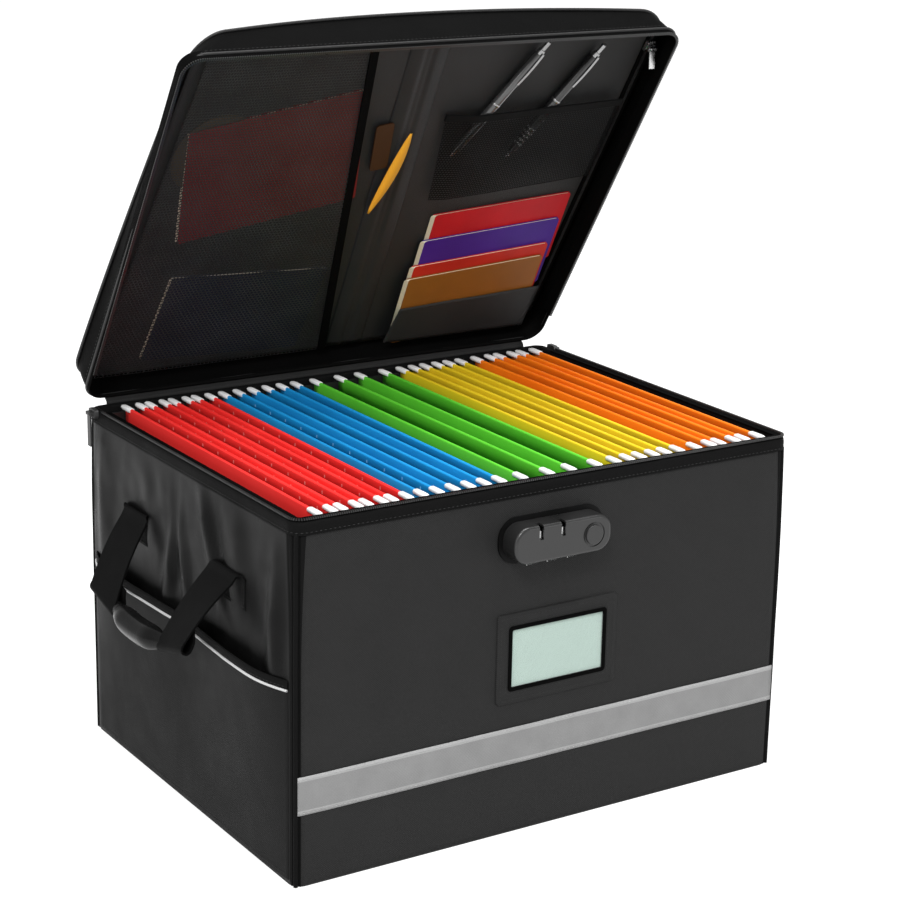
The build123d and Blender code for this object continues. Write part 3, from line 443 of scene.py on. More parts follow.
def sheet(name, surface, columns, rows, size, material, body, thick, inside):
    """A sheet of cloth.  surface(u, v) is its outer face for u and v from 0 to 1, size its
    measure in metres along u and v, and inside a point behind it."""
    points, uvs = [], []
    for j in range(rows + 1):
        for i in range(columns + 1):
            u, v = i / columns, j / rows
            points.append(surface(u, v))
            uvs.append((u * size[0], v * size[1]))
    faces = grid_faces(columns, rows)
    middle = faces[len(faces) // 2 + columns // 2]
    a, b, c, _ = (points[k] for k in middle)
    if (b - a).cross(c - b).dot(a - inside) < 0:
        faces = flipped(faces)
    piece = add_mesh(name, points, faces, material, body, uvs)
    thicken(piece, thick)
    return piece


def outline(half_x, half_y, radius, middle=(0.0, 0.0), side=24, corner=8):
    """A rounded rectangle as (x, y, nx, ny) tuples, from the -X end of its +Y side by way of -X.
    Two outlines with the same side and corner counts match point for point."""
    marks = []
    turns = ((-1, 1), (-1, -1), (1, -1), (1, 1))
    starts = (0.5, 1.0, 1.5, 0.0)
    for k, (sx, sy) in enumerate(turns):
        cx, cy = sx * (half_x - radius), sy * (half_y - radius)
        for i in range(corner + 1):
            angle = pi * (starts[k] + 0.5 * i / corner)
            nx, ny = cos(angle), sin(angle)
            marks.append((cx + radius * nx, cy + radius * ny, nx, ny))
        after = turns[(k + 1) % 4]
        x, y, nx, ny = marks[-1]
        goal_x = after[0] * (half_x - radius) + radius * nx
        goal_y = after[1] * (half_y - radius) + radius * ny
        for i in range(1, side):
            share = i / side
            marks.append((x + (goal_x - x) * share, y + (goal_y - y) * share, nx, ny))
    return [(x + middle[0], y + middle[1], nx, ny) for x, y, nx, ny in marks]


def sweep(name, stations, section, material, body, closed=False, sharp=40.0):
    """A solid of one section along stations of (origin, out, up)."""
    points, uvs = [], []
    count = len(section)
    run = 0.0
    for k, (origin, out, up) in enumerate(stations):
        if k:
            run += (origin - stations[k - 1][0]).length
        girth = 0.0
        for m, (a, b) in enumerate(section):
            if m:
                girth += hypot(a - section[m - 1][0], b - section[m - 1][1])
            points.append(origin + out * a + up * b)
            uvs.append((run, girth))
    faces = grid_faces(count, len(stations) - 1, closed=True)
    if closed:
        last = (len(stations) - 1) * count
        faces += [(last + m, last + (m + 1) % count, (m + 1) % count, m) for m in range(count)]
    else:
        faces += end_faces(count, len(stations))
    a, b, c = (points[k] for k in faces[0][:3])
    centre = sum(points[:count], Vector()) / count
    if (b - a).cross(c - b).dot((a + b) / 2 - centre) < 0:
        faces = flipped(faces)
    return add_mesh(name, points, faces, material, body, uvs, sharp)


def spaced(path, pitch):
    """Points and directions at an even pitch along a path of points."""
    found = []
    travelled = 0.0
    want = pitch / 2
    for a, b in zip(path, path[1:]):
        length = (b - a).length
        if length < 1e-9:
            continue
        way = (b - a) / length
        while want <= travelled + length:
            found.append((a + way * (want - travelled), way))
            want += pitch
        travelled += length
    return found


STITCH_FACES = ((0, 4, 2), (1, 2, 4), (0, 3, 5), (1, 5, 3), (0, 5, 4), (1, 4, 5))
BLOCK_FACES = ((0, 3, 2, 1), (4, 5, 6, 7), (0, 1, 5, 4), (1, 2, 6, 5), (2, 3, 7, 6), (3, 0, 4, 7))


def stitches(name, paths, normal, body, length=2.6 * MM, pitch=3.6 * MM, width=0.55 * MM,
             material=None):
    """Rows of thread stitches.  normal is a vector, or a function of a point."""
    points, faces = [], []
    for path in paths:
        for at, way in spaced(path, pitch):
            up = (normal(at) if callable(normal) else normal).normalized()
            aside = way.cross(up).normalized() * width / 2
            lift = up * width * 0.6
            ahead = way * length / 2
            dip = up * (-0.2 * MM)
            faces += shifted(STITCH_FACES, len(points))
            points += [at - ahead + dip, at + ahead + dip, at - aside, at + aside,
                       at + lift - aside * 0.6, at + lift + aside * 0.6]
    return add_mesh(name, points, faces, material or thread_mat, body, sharp=180.0)


def tube(name, points, radius, material, body, closed=False):
    """A round cord along points, as a curve with a bevel."""
    curve = bpy.data.curves.new(name, "CURVE")
    curve.dimensions = "3D"
    line = curve.splines.new("POLY")
    line.points.add(len(points) - 1)
    for spot, point in zip(line.points, points):
        spot.co = (*point, 1.0)
    line.use_cyclic_u = closed
    line.use_smooth = True
    curve.bevel_depth = radius
    curve.bevel_resolution = 4
    curve.use_fill_caps = True
    curve.materials.append(material)
    piece = new_object(name, curve)
    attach(piece, body)
    return piece


def blocks(name, spots, size, material, body, taper=0.8):
    """Small blocks: spots are (centre, along, across, up) and size is their measure."""
    points, faces = [], []
    long, wide, high = size
    for centre, along, across, up in spots:
        faces += shifted(BLOCK_FACES, len(points))
        for level, scale in ((-0.5, 1.0), (0.5, taper)):
            for a, b in ((-0.5, -0.5), (0.5, -0.5), (0.5, 0.5), (-0.5, 0.5)):
                points.append(centre + along * (a * long * scale) + across * (b * wide * scale)
                              + up * (level * high))
    return add_mesh(name, points, faces, material, body)


def bell(value, middle, width):
    """A smooth bump: 1 at the middle and 0 from a width away."""
    share = (value - middle) / width
    return max(0.0, 1 - share * share) ** 2 if abs(share) < 1 else 0.0


BOX_MIDDLE = Vector((0, 0, 0.13))

# ================================================================ outer walls
RIM_EDGE = RIM_TOP - 10 * MM
WALL_HIGH = RIM_EDGE + 2 * MM
SHARP_CORNER = 5 * MM
ROUNDED_FROM = 150 * MM       # the height from which the corners widen
OUTER_SKIN = COVER * 0.7
PANEL_PITCH = 3.5 * MM
FLAT_X = HALF_X - CORNER
FLAT_Y = HALF_Y - CORNER


def corner_radius(z):
    """The corners are tighter below than at the rim."""
    share = clamp((z - ROUNDED_FROM) / (WALL_HIGH - ROUNDED_FROM))
    return SHARP_CORNER + (CORNER - SHARP_CORNER) * share * share


# wall: the way along it, the way out of it, its distance from the middle and half its length
WALLS = {
    "front": (X_AXIS, TO_FRONT, HALF_Y, HALF_X),
    "back": (TO_LEFT, Y_AXIS, HALF_Y, HALF_X),
    "left": (TO_FRONT, TO_LEFT, HALF_X, HALF_Y),
    "right": (Y_AXIS, X_AXIS, HALF_X, HALF_Y),
}


def wall_panel(side, material, relief):
    """One cloth panel over a wall, from corner seam to corner seam."""
    node = f"{side}_cover"
    u_axis, out_axis, reach, half = WALLS[side]
    low = COVER

    def surface(u, v):
        high = low + v * (WALL_HIGH - low)
        along = (2 * u - 1) * (half - corner_radius(high))
        point = u_axis * along + Vector((0, 0, high)) + out_axis * reach
        return point + out_axis * relief(along, high)

    size = (2 * (half - CORNER), WALL_HIGH - low)
    columns, rows = (ceil(length / PANEL_PITCH) for length in size)
    piece = sheet(f"{side}_panel", surface, columns, rows, size, material, "box", OUTER_SKIN,
                  BOX_MIDDLE)
    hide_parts(node)
    return piece


def edge_hold(value, half, margin=14 * MM):
    """0 at a sewn edge, 1 away from it."""
    return clamp((half - abs(value)) / margin)


def front_relief(x, z):
    """How far the front cloth stands off its board."""
    hold = edge_hold(x, FLAT_X) * edge_hold(z - WALL_HIGH / 2, WALL_HIGH / 2, 20 * MM)
    soft = smooth(x * 9, 0.3, z * 11) + 0.5 * smooth(x * 26, 4.1, z * 21)
    return hold * (0.35 + 0.55 * soft) * 0.9 * MM


# Soft vertical folds of the side cloth, as (middle y, height, width, proud, lean).
SIDE_FOLDS = (
    (142 * MM, 196 * MM, 26 * MM, 4.0 * MM, 0.05),
    (58 * MM, 222 * MM, 20 * MM, 2.0 * MM, -0.25),
    (26 * MM, 168 * MM, 13 * MM, 3.6 * MM, 0.30),
    (-4 * MM, 172 * MM, 11 * MM, 3.0 * MM, -0.20),
    (-42 * MM, 224 * MM, 14 * MM, 5.4 * MM, -0.40),
    (-82 * MM, 226 * MM, 26 * MM, 4.2 * MM, -0.12),
    (-141 * MM, 180 * MM, 20 * MM, 5.6 * MM, 0.08),
)
FOLD_TALL = 84 * MM
SLACK = 1.8 * MM              # how softly the cloth leaves its board


def side_relief(sign):
    """How far a side wall's cloth stands off its boards: it hangs loose above the pocket."""
    def relief(along, z):
        y = along * sign
        drop = clamp((WALL_HIGH - z) / (24 * MM))
        hold = edge_hold(y, FLAT_Y, 16 * MM) * drop
        wave = sum(proud * bell(z, height, FOLD_TALL) * bell(y + lean * (z - height), middle, width)
                   for middle, height, width, proud, lean in SIDE_FOLDS)
        crease = -2.6 * MM * bell(y, 12 * MM, 8 * MM)
        upper = clamp((z - 110 * MM) / (40 * MM))
        soft = 1.5 * MM * smooth(sign + y * 26, 2.0, z * 17) * upper
        soft += 0.7 * MM * smooth(sign + y * 70, 7.0, z * 55) * upper
        free = clamp((z - 105 * MM) / (35 * MM))
        raised = free * (wave + soft + 1.0 * MM + crease)
        settled = 0.5 * (raised + (raised * raised + SLACK * SLACK) ** 0.5) - 0.5 * SLACK
        return hold * max(settled, -0.2 * MM)
    return relief


wall_panel("front", outer_cloth, front_relief)
wall_panel("back", outer_cloth, lambda x, z: front_relief(-x, z))
wall_panel("left", side_cloth, side_relief(-1))
wall_panel("right", side_cloth, side_relief(1))

BEAD = 1.5 * MM
GROOVE = 1.7 * MM


def corner_seams():
    """The cloth round the four corners: each has a piped seam between two grooves."""
    points, faces, uvs = [], [], []
    rows, columns = 70, 32
    for sx, sy in ((-1, -1), (1, -1), (1, 1), (-1, 1)):
        start = len(points)
        for j in range(rows + 1):
            z = COVER * 0.3 + (WALL_HIGH - COVER * 0.3) * j / rows
            radius = corner_radius(z)
            wander = 0.5 * MM * smooth(sx * 3, sy * 5, z * 22)
            for i in range(columns + 1):
                angle = pi / 2 * i / columns
                reach = radius * abs(angle - pi / 4)
                proud = 0.0
                if reach < BEAD:
                    proud = (BEAD * BEAD - reach * reach) ** 0.5
                elif reach < BEAD + GROOVE:
                    proud = -0.9 * MM * sin(pi * (reach - BEAD) / GROOVE)
                x = HALF_X - radius + (radius + proud) * cos(angle) + wander * 0.4
                y = HALF_Y - radius + (radius + proud) * sin(angle)
                points.append(Vector((sx * x, sy * y, z)))
                uvs.append((angle * radius, z))
        block = shifted(grid_faces(columns, rows), start)
        faces += flipped(block) if sx * sy < 0 else block
    piece = add_mesh("corner_cloth", points, faces, binding_cloth, "box", uvs)
    thicken(piece, OUTER_SKIN)
    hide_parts("corner_welts")


corner_seams()

# ================================================================ rim
rim_ring = outline(HALF_X, HALF_Y, CORNER, side=60, corner=8)


def plan_station(mark, z=0.0, inset=0.0):
    """A sweep's station at a mark of a level outline."""
    x, y, nx, ny = mark
    return (Vector((x - nx * inset, y - ny * inset, z)), Vector((nx, ny, 0)), Z_AXIS)


rim_stations = []
for mark in rim_ring:
    origin, out, up = plan_station(mark)
    swell = 0.35 * MM * noise.noise(origin * 24)
    rim_stations.append((origin + out * swell + up * (swell * 0.6), out, up))
RIM_INNER = -(HALF_X - INSIDE_X) - 0.9 * MM
rim_section = (
    *mm((0.1, 0), (0.9, 0.2), (1.1, 1.2), (1.0, 3), (1.2, 5), level=RIM_EDGE),
    *mm((1.1, -3), (0.6, -0.8), (-0.8, 0), (-2.8, 0.1), level=RIM_TOP),
    (RIM_INNER + 0.6 * MM, RIM_TOP - 0.4 * MM), (RIM_INNER, RIM_TOP - 1.6 * MM),
    (RIM_INNER, RIM_LOW - 0.5 * MM), (RIM_INNER + 0.8 * MM, RIM_LOW - 0.5 * MM),
    (RIM_INNER + 0.9 * MM, RIM_TOP - 3 * MM), (-0.4 * MM, RIM_TOP - 3 * MM),
)
rim_piece = sweep("rim_binding", rim_stations, rim_section, binding_cloth, "box", closed=True,
                  sharp=60)
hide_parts("rim_band")

rim_line = [plan_station(m, RIM_EDGE + 2.2 * MM, -1.25 * MM)[0] for m in rim_ring]
rim_line.append(rim_line[0])
stitches("rim_stitches", [rim_line], lambda p: Vector((p.x / HALF_X, p.y / HALF_Y, 0)), "box")

# The box's half of the zip: a tape that stands on the rim, with its coil of teeth.
zip_ring = [m for m in rim_ring if m[1] < span("box_zip_tape")[1].y]
tape_section = mm((-7.0, 0.3), (-6.8, 0.8), (-1.2, 0.9), (-0.9, 1.7), (0, 1.8), (0.3, 0.2),
                  (0.1, -0.3), level=RIM_TOP)
box_tape = sweep("rim_zip_tape", [plan_station(m) for m in zip_ring], tape_section, tape_cloth,
                 "box", sharp=60)
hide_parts("box_zip_tape")
TOOTH_PITCH = 1.7 * MM


def teeth(name, path, up, body, size=(1.05 * MM, 2.3 * MM, 1.2 * MM)):
    """A row of zip teeth along a path."""
    spots = [(at, way, up.cross(way).normalized(), up) for at, way in spaced(path, TOOTH_PITCH)]
    blocks(name, spots, size, teeth_mat, body, 0.75)


teeth("rim_zip_teeth", [plan_station(m, RIM_TOP + 1.5 * MM, 0.2 * MM)[0] for m in zip_ring],
      Z_AXIS, "box")

# ================================================================ inside of the box
def lining_wall(side):
    """The inner cloth of one wall."""
    along, out, reach, half = WALLS[side]
    reach, half = (INSIDE_Y, INSIDE_X) if reach == HALF_Y else (INSIDE_X, INSIDE_Y)
    half -= 0.3 * MM
    low = span("lining")[0].z + LINING_SKIN

    def surface(u, v):
        run = (2 * u - 1) * half
        z = low + v * (RIM_LOW - 1 * MM - low)
        ease = 0.5 * MM * smooth(run * 20, reach * 9, z * 16)
        return along * run + out * (reach - 0.2 * MM + 0.4 * ease) + Vector((0, 0, z))

    size = (2 * half, RIM_LOW - low)
    piece = sheet(f"lining_{side}", surface, 50, 40, size, lining_cloth, "box", 0.5 * MM, out * 9)
    return piece


linings = [lining_wall(side) for side in WALLS]
board_top = span("base_board")[1].z
FLOOR_INSET = 2.4 * MM


def floor_surface(u, v):
    x = (2 * u - 1) * (INSIDE_X - FLOOR_INSET)
    y = (2 * v - 1) * (INSIDE_Y - FLOOR_INSET)
    return Vector((x, y, board_top + 0.5 * MM + 0.3 * MM * smooth(x * 12, y * 12, 3)))


floor_size = (2 * INSIDE_X - 2 * FLOOR_INSET, 2 * INSIDE_Y - 2 * FLOOR_INSET)
floor_cloth = sheet("lining_floor", floor_surface, 40, 30, floor_size, lining_cloth, "box",
                    0.4 * MM, Vector((0, 0, -1)))
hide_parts("lining")

# ================================================================ side pockets
POCKET_LOW, POCKET_TOP = (corner.z for corner in span("left_pocket"))
POCKET_GAPE = span("right_pocket")[1].x - HALF_X
POCKET_ROOT = 1.7 * MM
POCKET_TAPER = 50 * MM
POCKET_SKIN = 1.2 * MM * 0.8
MOUTH_STEPS, FOOT_STEPS = 90, 60


def pocket_face(sign, y, z):
    """The pocket's outer face: it stands off the wall more towards its mouth."""
    depth = POCKET_ROOT + (POCKET_GAPE - POCKET_ROOT) * (z - POCKET_LOW) / (POCKET_TOP - POCKET_LOW)
    end = 1 - (1 - clamp((FLAT_Y - abs(y)) / POCKET_TAPER)) ** 2.6
    crease = -0.42 * (depth - POCKET_ROOT) * max(0.0, 1 - abs(y - 2 * MM) / (80 * MM))
    near_mouth = max(0.0, (z - POCKET_LOW) / (POCKET_TOP - POCKET_LOW)) ** 2
    soft = 1.0 * MM * smooth(sign * 3 + y * 15, 1.0, z * 12) * (0.3 + 0.7 * near_mouth)
    soft += 0.25 * MM * smooth(sign * 3 + y * 60, 5.0, z * 45)
    out = depth * end + (crease + soft) * end
    return Vector((sign * (HALF_X + max(out, 0.25 * MM)), y, z))


for sign, side in ((-1, "left"), (1, "right")):
    def pocket_surface(u, v):
        y = (2 * u - 1) * FLAT_Y * sign
        return pocket_face(sign, y, POCKET_LOW + v * (POCKET_TOP - POCKET_LOW))

    size = (2 * FLAT_Y, POCKET_TOP - POCKET_LOW)
    pocket = sheet(f"{side}_pocket_cloth", pocket_surface, 90, 44, size, pocket_cloth, "box",
                   POCKET_SKIN, BOX_MIDDLE)
    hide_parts(f"{side}_pocket")

    outward = Vector((sign, 0, 0))
    mouth = []
    for i in range(MOUTH_STEPS + 1):
        face = pocket_face(sign, FLAT_Y * (1 - 2 * i / MOUTH_STEPS), POCKET_TOP)
        mouth.append((face - Vector((sign * 0.4 * MM, 0, POCKET_TOP)), outward, Z_AXIS))
    low, top = POCKET_TOP - 5.6 * MM, POCKET_TOP + 0.8 * MM
    band = (*mm((0.5, 0), (1.0, 0.5), (1.15, 3), level=low),
            *mm((1.0, -1.2), (0.3, 0), (-0.5, -0.5), level=top),
            *mm((-0.9, 2), (-0.6, 0), level=low))
    binding = sweep(f"{side}_pocket_binding", mouth, band, binding_cloth, "box", sharp=70)
    if sign < 0:
        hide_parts("pocket_bindings")
    edge = [at + out * 1.1 * MM + up * (low - 0.9 * MM) for at, out, up in mouth]
    tube(f"{side}_pocket_piping", edge, 0.95 * MM, pale_piping, "box")
    edge = [at + out * 1.45 * MM + up * (low + 2.0 * MM) for at, out, up in mouth]
    stitches(f"{side}_pocket_stitches", [edge], outward, "box")
    foot = [pocket_face(sign, FLAT_Y * (1 - 2 * i / FOOT_STEPS) * 0.985, POCKET_LOW + 2.5 * MM)
            + outward * (0.15 * MM) for i in range(FOOT_STEPS + 1)]
    stitches(f"{side}_pocket_foot", [foot], outward, "box")

# ================================================================ label holder and reflective strip
patch_low, patch_high = span("label_patch")
label_x = (patch_low.x + patch_high.x) / 2
label_z = (patch_low.z + patch_high.z) / 2


def half_face(node):
    """Half the width and half the height of a node on the front wall."""
    low, high = span(node)
    return (high.x - low.x) / 2, (high.z - low.z) / 2


def frame_ring(name, outer_half, inner_half, back, front, soft, material):
    """A flat frame on the front wall, with rounded edges, about the label's middle."""
    points, uvs = [], []
    outer = outline(*outer_half, 3 * MM, side=12, corner=5)
    inner = outline(*inner_half, 1.2 * MM, side=12, corner=5)
    rings = ((outer, 0.0, back), (outer, 0.0, front - soft), (outer, soft, front),
             (inner, -soft, front), (inner, 0.0, front - soft), (inner, 0.0, back))
    for marks, shrink, depth in rings:
        for x, z, nx, nz in marks:
            lift = 0.25 * MM * smooth(x * 40, z * 40, 1.0) if depth == front else 0.0
            points.append(Vector((label_x + x - nx * shrink, -HALF_Y - depth - lift,
                                  label_z + z - nz * shrink)))
            uvs.append((x, z))
    faces = grid_faces(len(outer), len(rings) - 1, closed=True)
    return add_mesh(name, points, faces, material, "box", uvs, 50)


patch_w, patch_h = half_face("label_patch")
open_w, open_h = half_face("label_window")
patch_deep = patch_high.y - patch_low.y
label_piece = frame_ring("label_holder", (patch_w, patch_h), (open_w, open_h), 0.0, patch_deep,
                         0.5 * MM, outer_cloth)
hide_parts("label_patch")
frame_ring("label_window_edge", (open_w + 2.4 * MM, open_h + 2.4 * MM),
           (open_w - 0.6 * MM, open_h - 0.6 * MM), patch_deep - 0.2 * MM, patch_deep + 0.7 * MM,
           0.35 * MM, tape_cloth)
thread_rows = []
for inset in (3.2 * MM, patch_w - open_w - 4.2 * MM):
    row = [Vector((label_x + x, -HALF_Y - patch_deep - 0.1 * MM, label_z + z))
           for x, z, _, _ in outline(patch_w - inset, patch_h - inset, 1.5 * MM, side=12, corner=3)]
    thread_rows.append(row + [row[0]])
stitches("label_stitches", thread_rows, TO_FRONT, "box", length=2.2 * MM, pitch=3.0 * MM)

STRIP_REACH = HALF_X - 2.2 * MM


def strip_surface(u, v):
    x = (2 * u - 1) * STRIP_REACH
    z = strip_low.z + v * STRIP_HIGH
    soft = 0.25 * MM * smooth(x * 30, 9.0, z * 40)
    tuck = max(0.0, abs(x) - HALF_X + SHARP_CORNER) / SHARP_CORNER
    y = -HALF_Y - 0.9 * MM - front_relief(x, z) * 0.8 - soft + 1.6 * MM * tuck ** 2
    return Vector((x, y, z))


strip_size = (2 * STRIP_REACH, STRIP_HIGH)
strip = sheet("reflective_tape", strip_surface, 100, 10, strip_size, reflect_mat, "box", 0.7 * MM,
              BOX_MIDDLE)
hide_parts("reflective_strip")
for name, z in (("tape_edge_low", strip_low.z + 1.6 * MM),
                ("tape_edge_high", strip_high.z - 1.6 * MM)):
    spread = [(2 * i / 119 - 1) * (HALF_X - SHARP_CORNER) for i in range(120)]
    line = [Vector((x, -HALF_Y - 1.05 * MM - front_relief(x, z) * 0.8, z)) for x in spread]
    stitches(name, [line], TO_FRONT, "box", length=3.4 * MM, width=0.4 * MM,
             material=strip_thread)

# ================================================================ lid shell
LID_SIDE, LID_CORNER = 40, 12             # points along each side and round each corner
CROWN_MIDDLE = -(CROWN_FRONT + CROWN_BACK) / 2


def lid_outline(share, grow=0.0):
    """The lid's outline in (x, -run): share 0 is at the zip and 1 at the crown plane."""
    at_zip = outline(ZIP_HALF, (ZIP_FRONT - ZIP_BACK) / 2, ZIP_CORNER,
                     (0, -(ZIP_FRONT + ZIP_BACK) / 2), LID_SIDE, LID_CORNER)
    at_crown = outline(CROWN_HALF, (CROWN_FRONT - CROWN_BACK) / 2, CROWN_CORNER,
                       (0, CROWN_MIDDLE), LID_SIDE, LID_CORNER)
    return [(ax + (bx - ax) * share + nx * grow, ay + (by - ay) * share + ny * grow, nx, ny)
            for (ax, ay, nx, ny), (bx, by, _, _) in zip(at_zip, at_crown)]


def lid_arch(x):
    """How far the bowed top panel rises above its height at the lid's sides."""
    return ARCH * (1 - (x / CROWN_HALF) ** 2)


def skirt_point(low_mark, high_mark, share):
    """A point of the lid's cloth side: share runs from the zip to the edge of the top panel."""
    ax, ay, nx, ny = low_mark
    bx, by = high_mark[:2]
    rise = SKIRT_LOW + share * (EAVES + 0.6 * MM + lid_arch(bx) - SKIRT_LOW)
    level = rise / CROWN_PLANE
    wave = smooth(ax * 18, ay * 18, share * 0.8) * sin(pi * share)
    puff = 0.6 * MM * sin(pi * share) + 0.9 * MM * wave
    return lid(ax + (bx - ax) * level + nx * puff, -(ay + (by - ay) * level + ny * puff), rise)


low_marks = lid_outline(0.0)
high_marks = lid_outline(1.0)
skirt_points, skirt_uvs = [], []
SKIRT_ROWS = 8
for j in range(SKIRT_ROWS + 1):
    travelled = 0.0
    share = j / SKIRT_ROWS
    for k, (a, b) in enumerate(zip(low_marks, high_marks)):
        skirt_points.append(skirt_point(a, b, share))
        if k:
            travelled += hypot(a[0] - low_marks[k - 1][0], a[1] - low_marks[k - 1][1])
        skirt_uvs.append((travelled, share * 27 * MM))
# The lid's sides wear the darkened cloth, so their darkness is painted shade.
skirt = add_mesh("lid_sides", skirt_points, grid_faces(len(low_marks), SKIRT_ROWS, closed=True),
                 skirt_painted_shade_cloth, "lid", skirt_uvs)
thicken(skirt, 1.1 * MM)
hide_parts("lid_skirt")


def disc(name, marks, height, rings, material, thick, flip=False):
    """A sheet that fills the lid's outline: height(x, y, share) is its rise."""
    points, uvs = [], []
    middle = Vector((0, CROWN_MIDDLE, 0))
    for j in range(rings + 1):
        share = 1 - j / rings * 0.98
        for x, y, _, _ in marks:
            px = x * share
            py = middle.y + (y - middle.y) * share
            points.append(lid(px, -py, height(px, py, share)))
            uvs.append((px, py))
    faces = grid_faces(len(marks), rings, closed=True)
    faces.append(tuple(range(rings * len(marks), (rings + 1) * len(marks))))
    piece = add_mesh(name, points, flipped(faces) if flip else faces, material, "lid", uvs)
    thicken(piece, thick)
    return piece


def cover_height(x, y, share):
    """The padded top panel: it is quilted down at its edge."""
    edge = min(1.0, (1 - share) * 9)
    pad = 1.6 * MM * (1 - (1 - edge) ** 2)
    soft = 0.8 * MM * smooth(x * 10, y * 10, 5.0) * edge
    return EAVES + 0.7 * MM + lid_arch(x) + pad + soft


crown_marks = lid_outline(EAVES / CROWN_PLANE + 0.12)
top = disc("lid_top", crown_marks, cover_height, 40, outer_cloth, 1.1 * MM)
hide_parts("lid_cover")

stiffener = disc("lid_stiffener", lid_outline(0.9, -5 * MM), lambda x, y, share: EAVES - 0.2 * MM,
                 10, board_mat, 2.2 * MM)
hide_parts("lid_board")


def round_lid(marks, rise_of, grow):
    """A line round the lid, outside its outline by grow."""
    return [lid(x + nx * grow, -(y + ny * grow), rise_of(x)) for x, y, nx, ny in marks]


tube("lid_top_piping", round_lid(crown_marks, lambda x: EAVES + 0.6 * MM + lid_arch(x), 0.6 * MM),
     1.2 * MM, piping_mat, "lid", closed=True)
tube("lid_zip_piping", round_lid(lid_outline(0.06), lambda x: SKIRT_LOW + 3.4 * MM, 0.5 * MM),
     1.2 * MM, piping_mat, "lid", closed=True)

# The lid's half of the zip, which ends short of the hinge.
ZIP_END = 26 * MM
lid_zip_marks = [m for m in lid_outline(0.0) if m[1] < -ZIP_END]
lid_tape_stations = [(lid(x, -y, 0), Vector((nx, 0, 0)) + LID_BACK * ny, LID_RISE)
                     for x, y, nx, ny in lid_zip_marks]
lid_tape_section = (
    *mm((0.2, 2.0), (0.5, 0), level=SKIRT_LOW), *mm((0.3, 1.0), (-0.2, 0.7), (-1.1, 1.0)),
    *mm((-1.5, 0.4), (-1.9, 9), (-1.3, 9), level=SKIRT_LOW),
)
lid_tape = sweep("lid_tape", lid_tape_stations, lid_tape_section, tape_cloth, "lid", sharp=60)
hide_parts("lid_zip_tape")
lid_teeth_path = [at + out * (-0.3 * MM) + up * 0.9 * MM for at, out, up in lid_tape_stations]
teeth("lid_zip_teeth", lid_teeth_path, LID_RISE, "lid")

ring_of_thread = round_lid(lid_outline(0.2), lambda x: SKIRT_LOW + 6.5 * MM, 0.95 * MM)
stitches("lid_skirt_stitches", [ring_of_thread + [ring_of_thread[0]]],
         lambda p: Vector((p.x, (p - lid(0, LID_MIDDLE, 0)).dot(LID_BACK), 0)), "lid")

# ================================================================ inside of the lid
inner_marks = outline(CROWN_HALF - 6 * MM, (CROWN_FRONT - CROWN_BACK) / 2 - 6 * MM, 22 * MM,
                      (0, CROWN_MIDDLE), LID_SIDE, LID_CORNER)


def inner_height(x, y, share):
    """The lid's inner cloth, with slight waves away from its edge."""
    soft = 0.7 * MM * smooth(x * 16, y * 13, 8.0)
    soft += 0.3 * MM * smooth(x * 45, y * 30, 2.0)
    edge = min(1.0, (1 - share) * 8)
    return LID_LINING + 0.1 * MM + soft * edge * 0.6


lid_cloth = disc("lid_inner_cloth", inner_marks, inner_height, 30, lid_lining_cloth, 0.6 * MM,
                 flip=True)
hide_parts("lid_lining")


def lid_sheet(name, corners, rise, columns, rows, material, thick, ripple, seed, crown=0.0):
    """Cloth across the lid's inside, from four (x, run) corners: back left, back right,
    front right, front left.  rise(x, run) is its height."""
    a, b, c, d = (Vector(p) for p in corners)

    def surface(u, v):
        flat = a.lerp(b, u).lerp(d.lerp(c, u), v)
        level = rise(flat.x, flat.y)
        wave = ripple * smooth(flat.x * 24 + seed, flat.y * 18, seed)
        return lid(flat.x, flat.y, level + wave - crown * sin(pi * u) * sin(pi * v))

    size = (((b - a).length + (c - d).length) / 2, ((d - a).length + (c - b).length) / 2)
    behind = lid(0, LID_MIDDLE, 200 * MM)
    return sheet(name, surface, columns, rows, size, material, "lid", thick, behind), size


MESH_LEVEL = 17.3 * MM
mesh_corners = mm((-205, 8), (1, 8), (-52, 329), (-196, 329))
mesh_piece, mesh_size = lid_sheet(
    "mesh_pocket_cloth", mesh_corners,
    lambda x, run: MESH_LEVEL + 1.4 * MM * smooth(x * 9, run * 7, 3.0),
    60, 70, mesh_mat, 0.35 * MM, 0.3 * MM, 2.0)
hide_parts("mesh_pocket")

pleat_corners = mm((7, 8), (41, 8), (17, 328), (-17, 328))


def pleat_height(x, run):
    """The centre pleat: a rounded fold that leans across the lid, with a dent along its top."""
    middle = 24 * MM - 24 * MM * (run - 8 * MM) / (320 * MM)
    off = abs(x - middle) / (17 * MM)
    proud = 2.6 * MM * max(0.0, 1 - off * off)
    return LID_LINING - 0.3 * MM - proud + 1.3 * MM * bell(off, 0.1, 0.3)


pleat_piece, pleat_size = lid_sheet("lid_centre_pleat", pleat_corners, pleat_height, 24, 80,
                                    lid_lining_cloth, 0.5 * MM, 0.5 * MM, 4.0)
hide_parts("lid_pleat")

LID_STEPS = 60
mesh_edge = [lid(1 * MM + (-53 * MM) * k / LID_STEPS, 8 * MM + 321 * MM * k / LID_STEPS,
                 MESH_LEVEL - 0.4 * MM) for k in range(LID_STEPS + 1)]
sweep("mesh_pocket_edge", [(p, X_AXIS, LID_RISE) for p in mesh_edge],
      mm((-3.5, -0.7), (3.5, -0.6), (3.8, 0.2), (-3.5, 0.6)), tape_cloth, "lid")

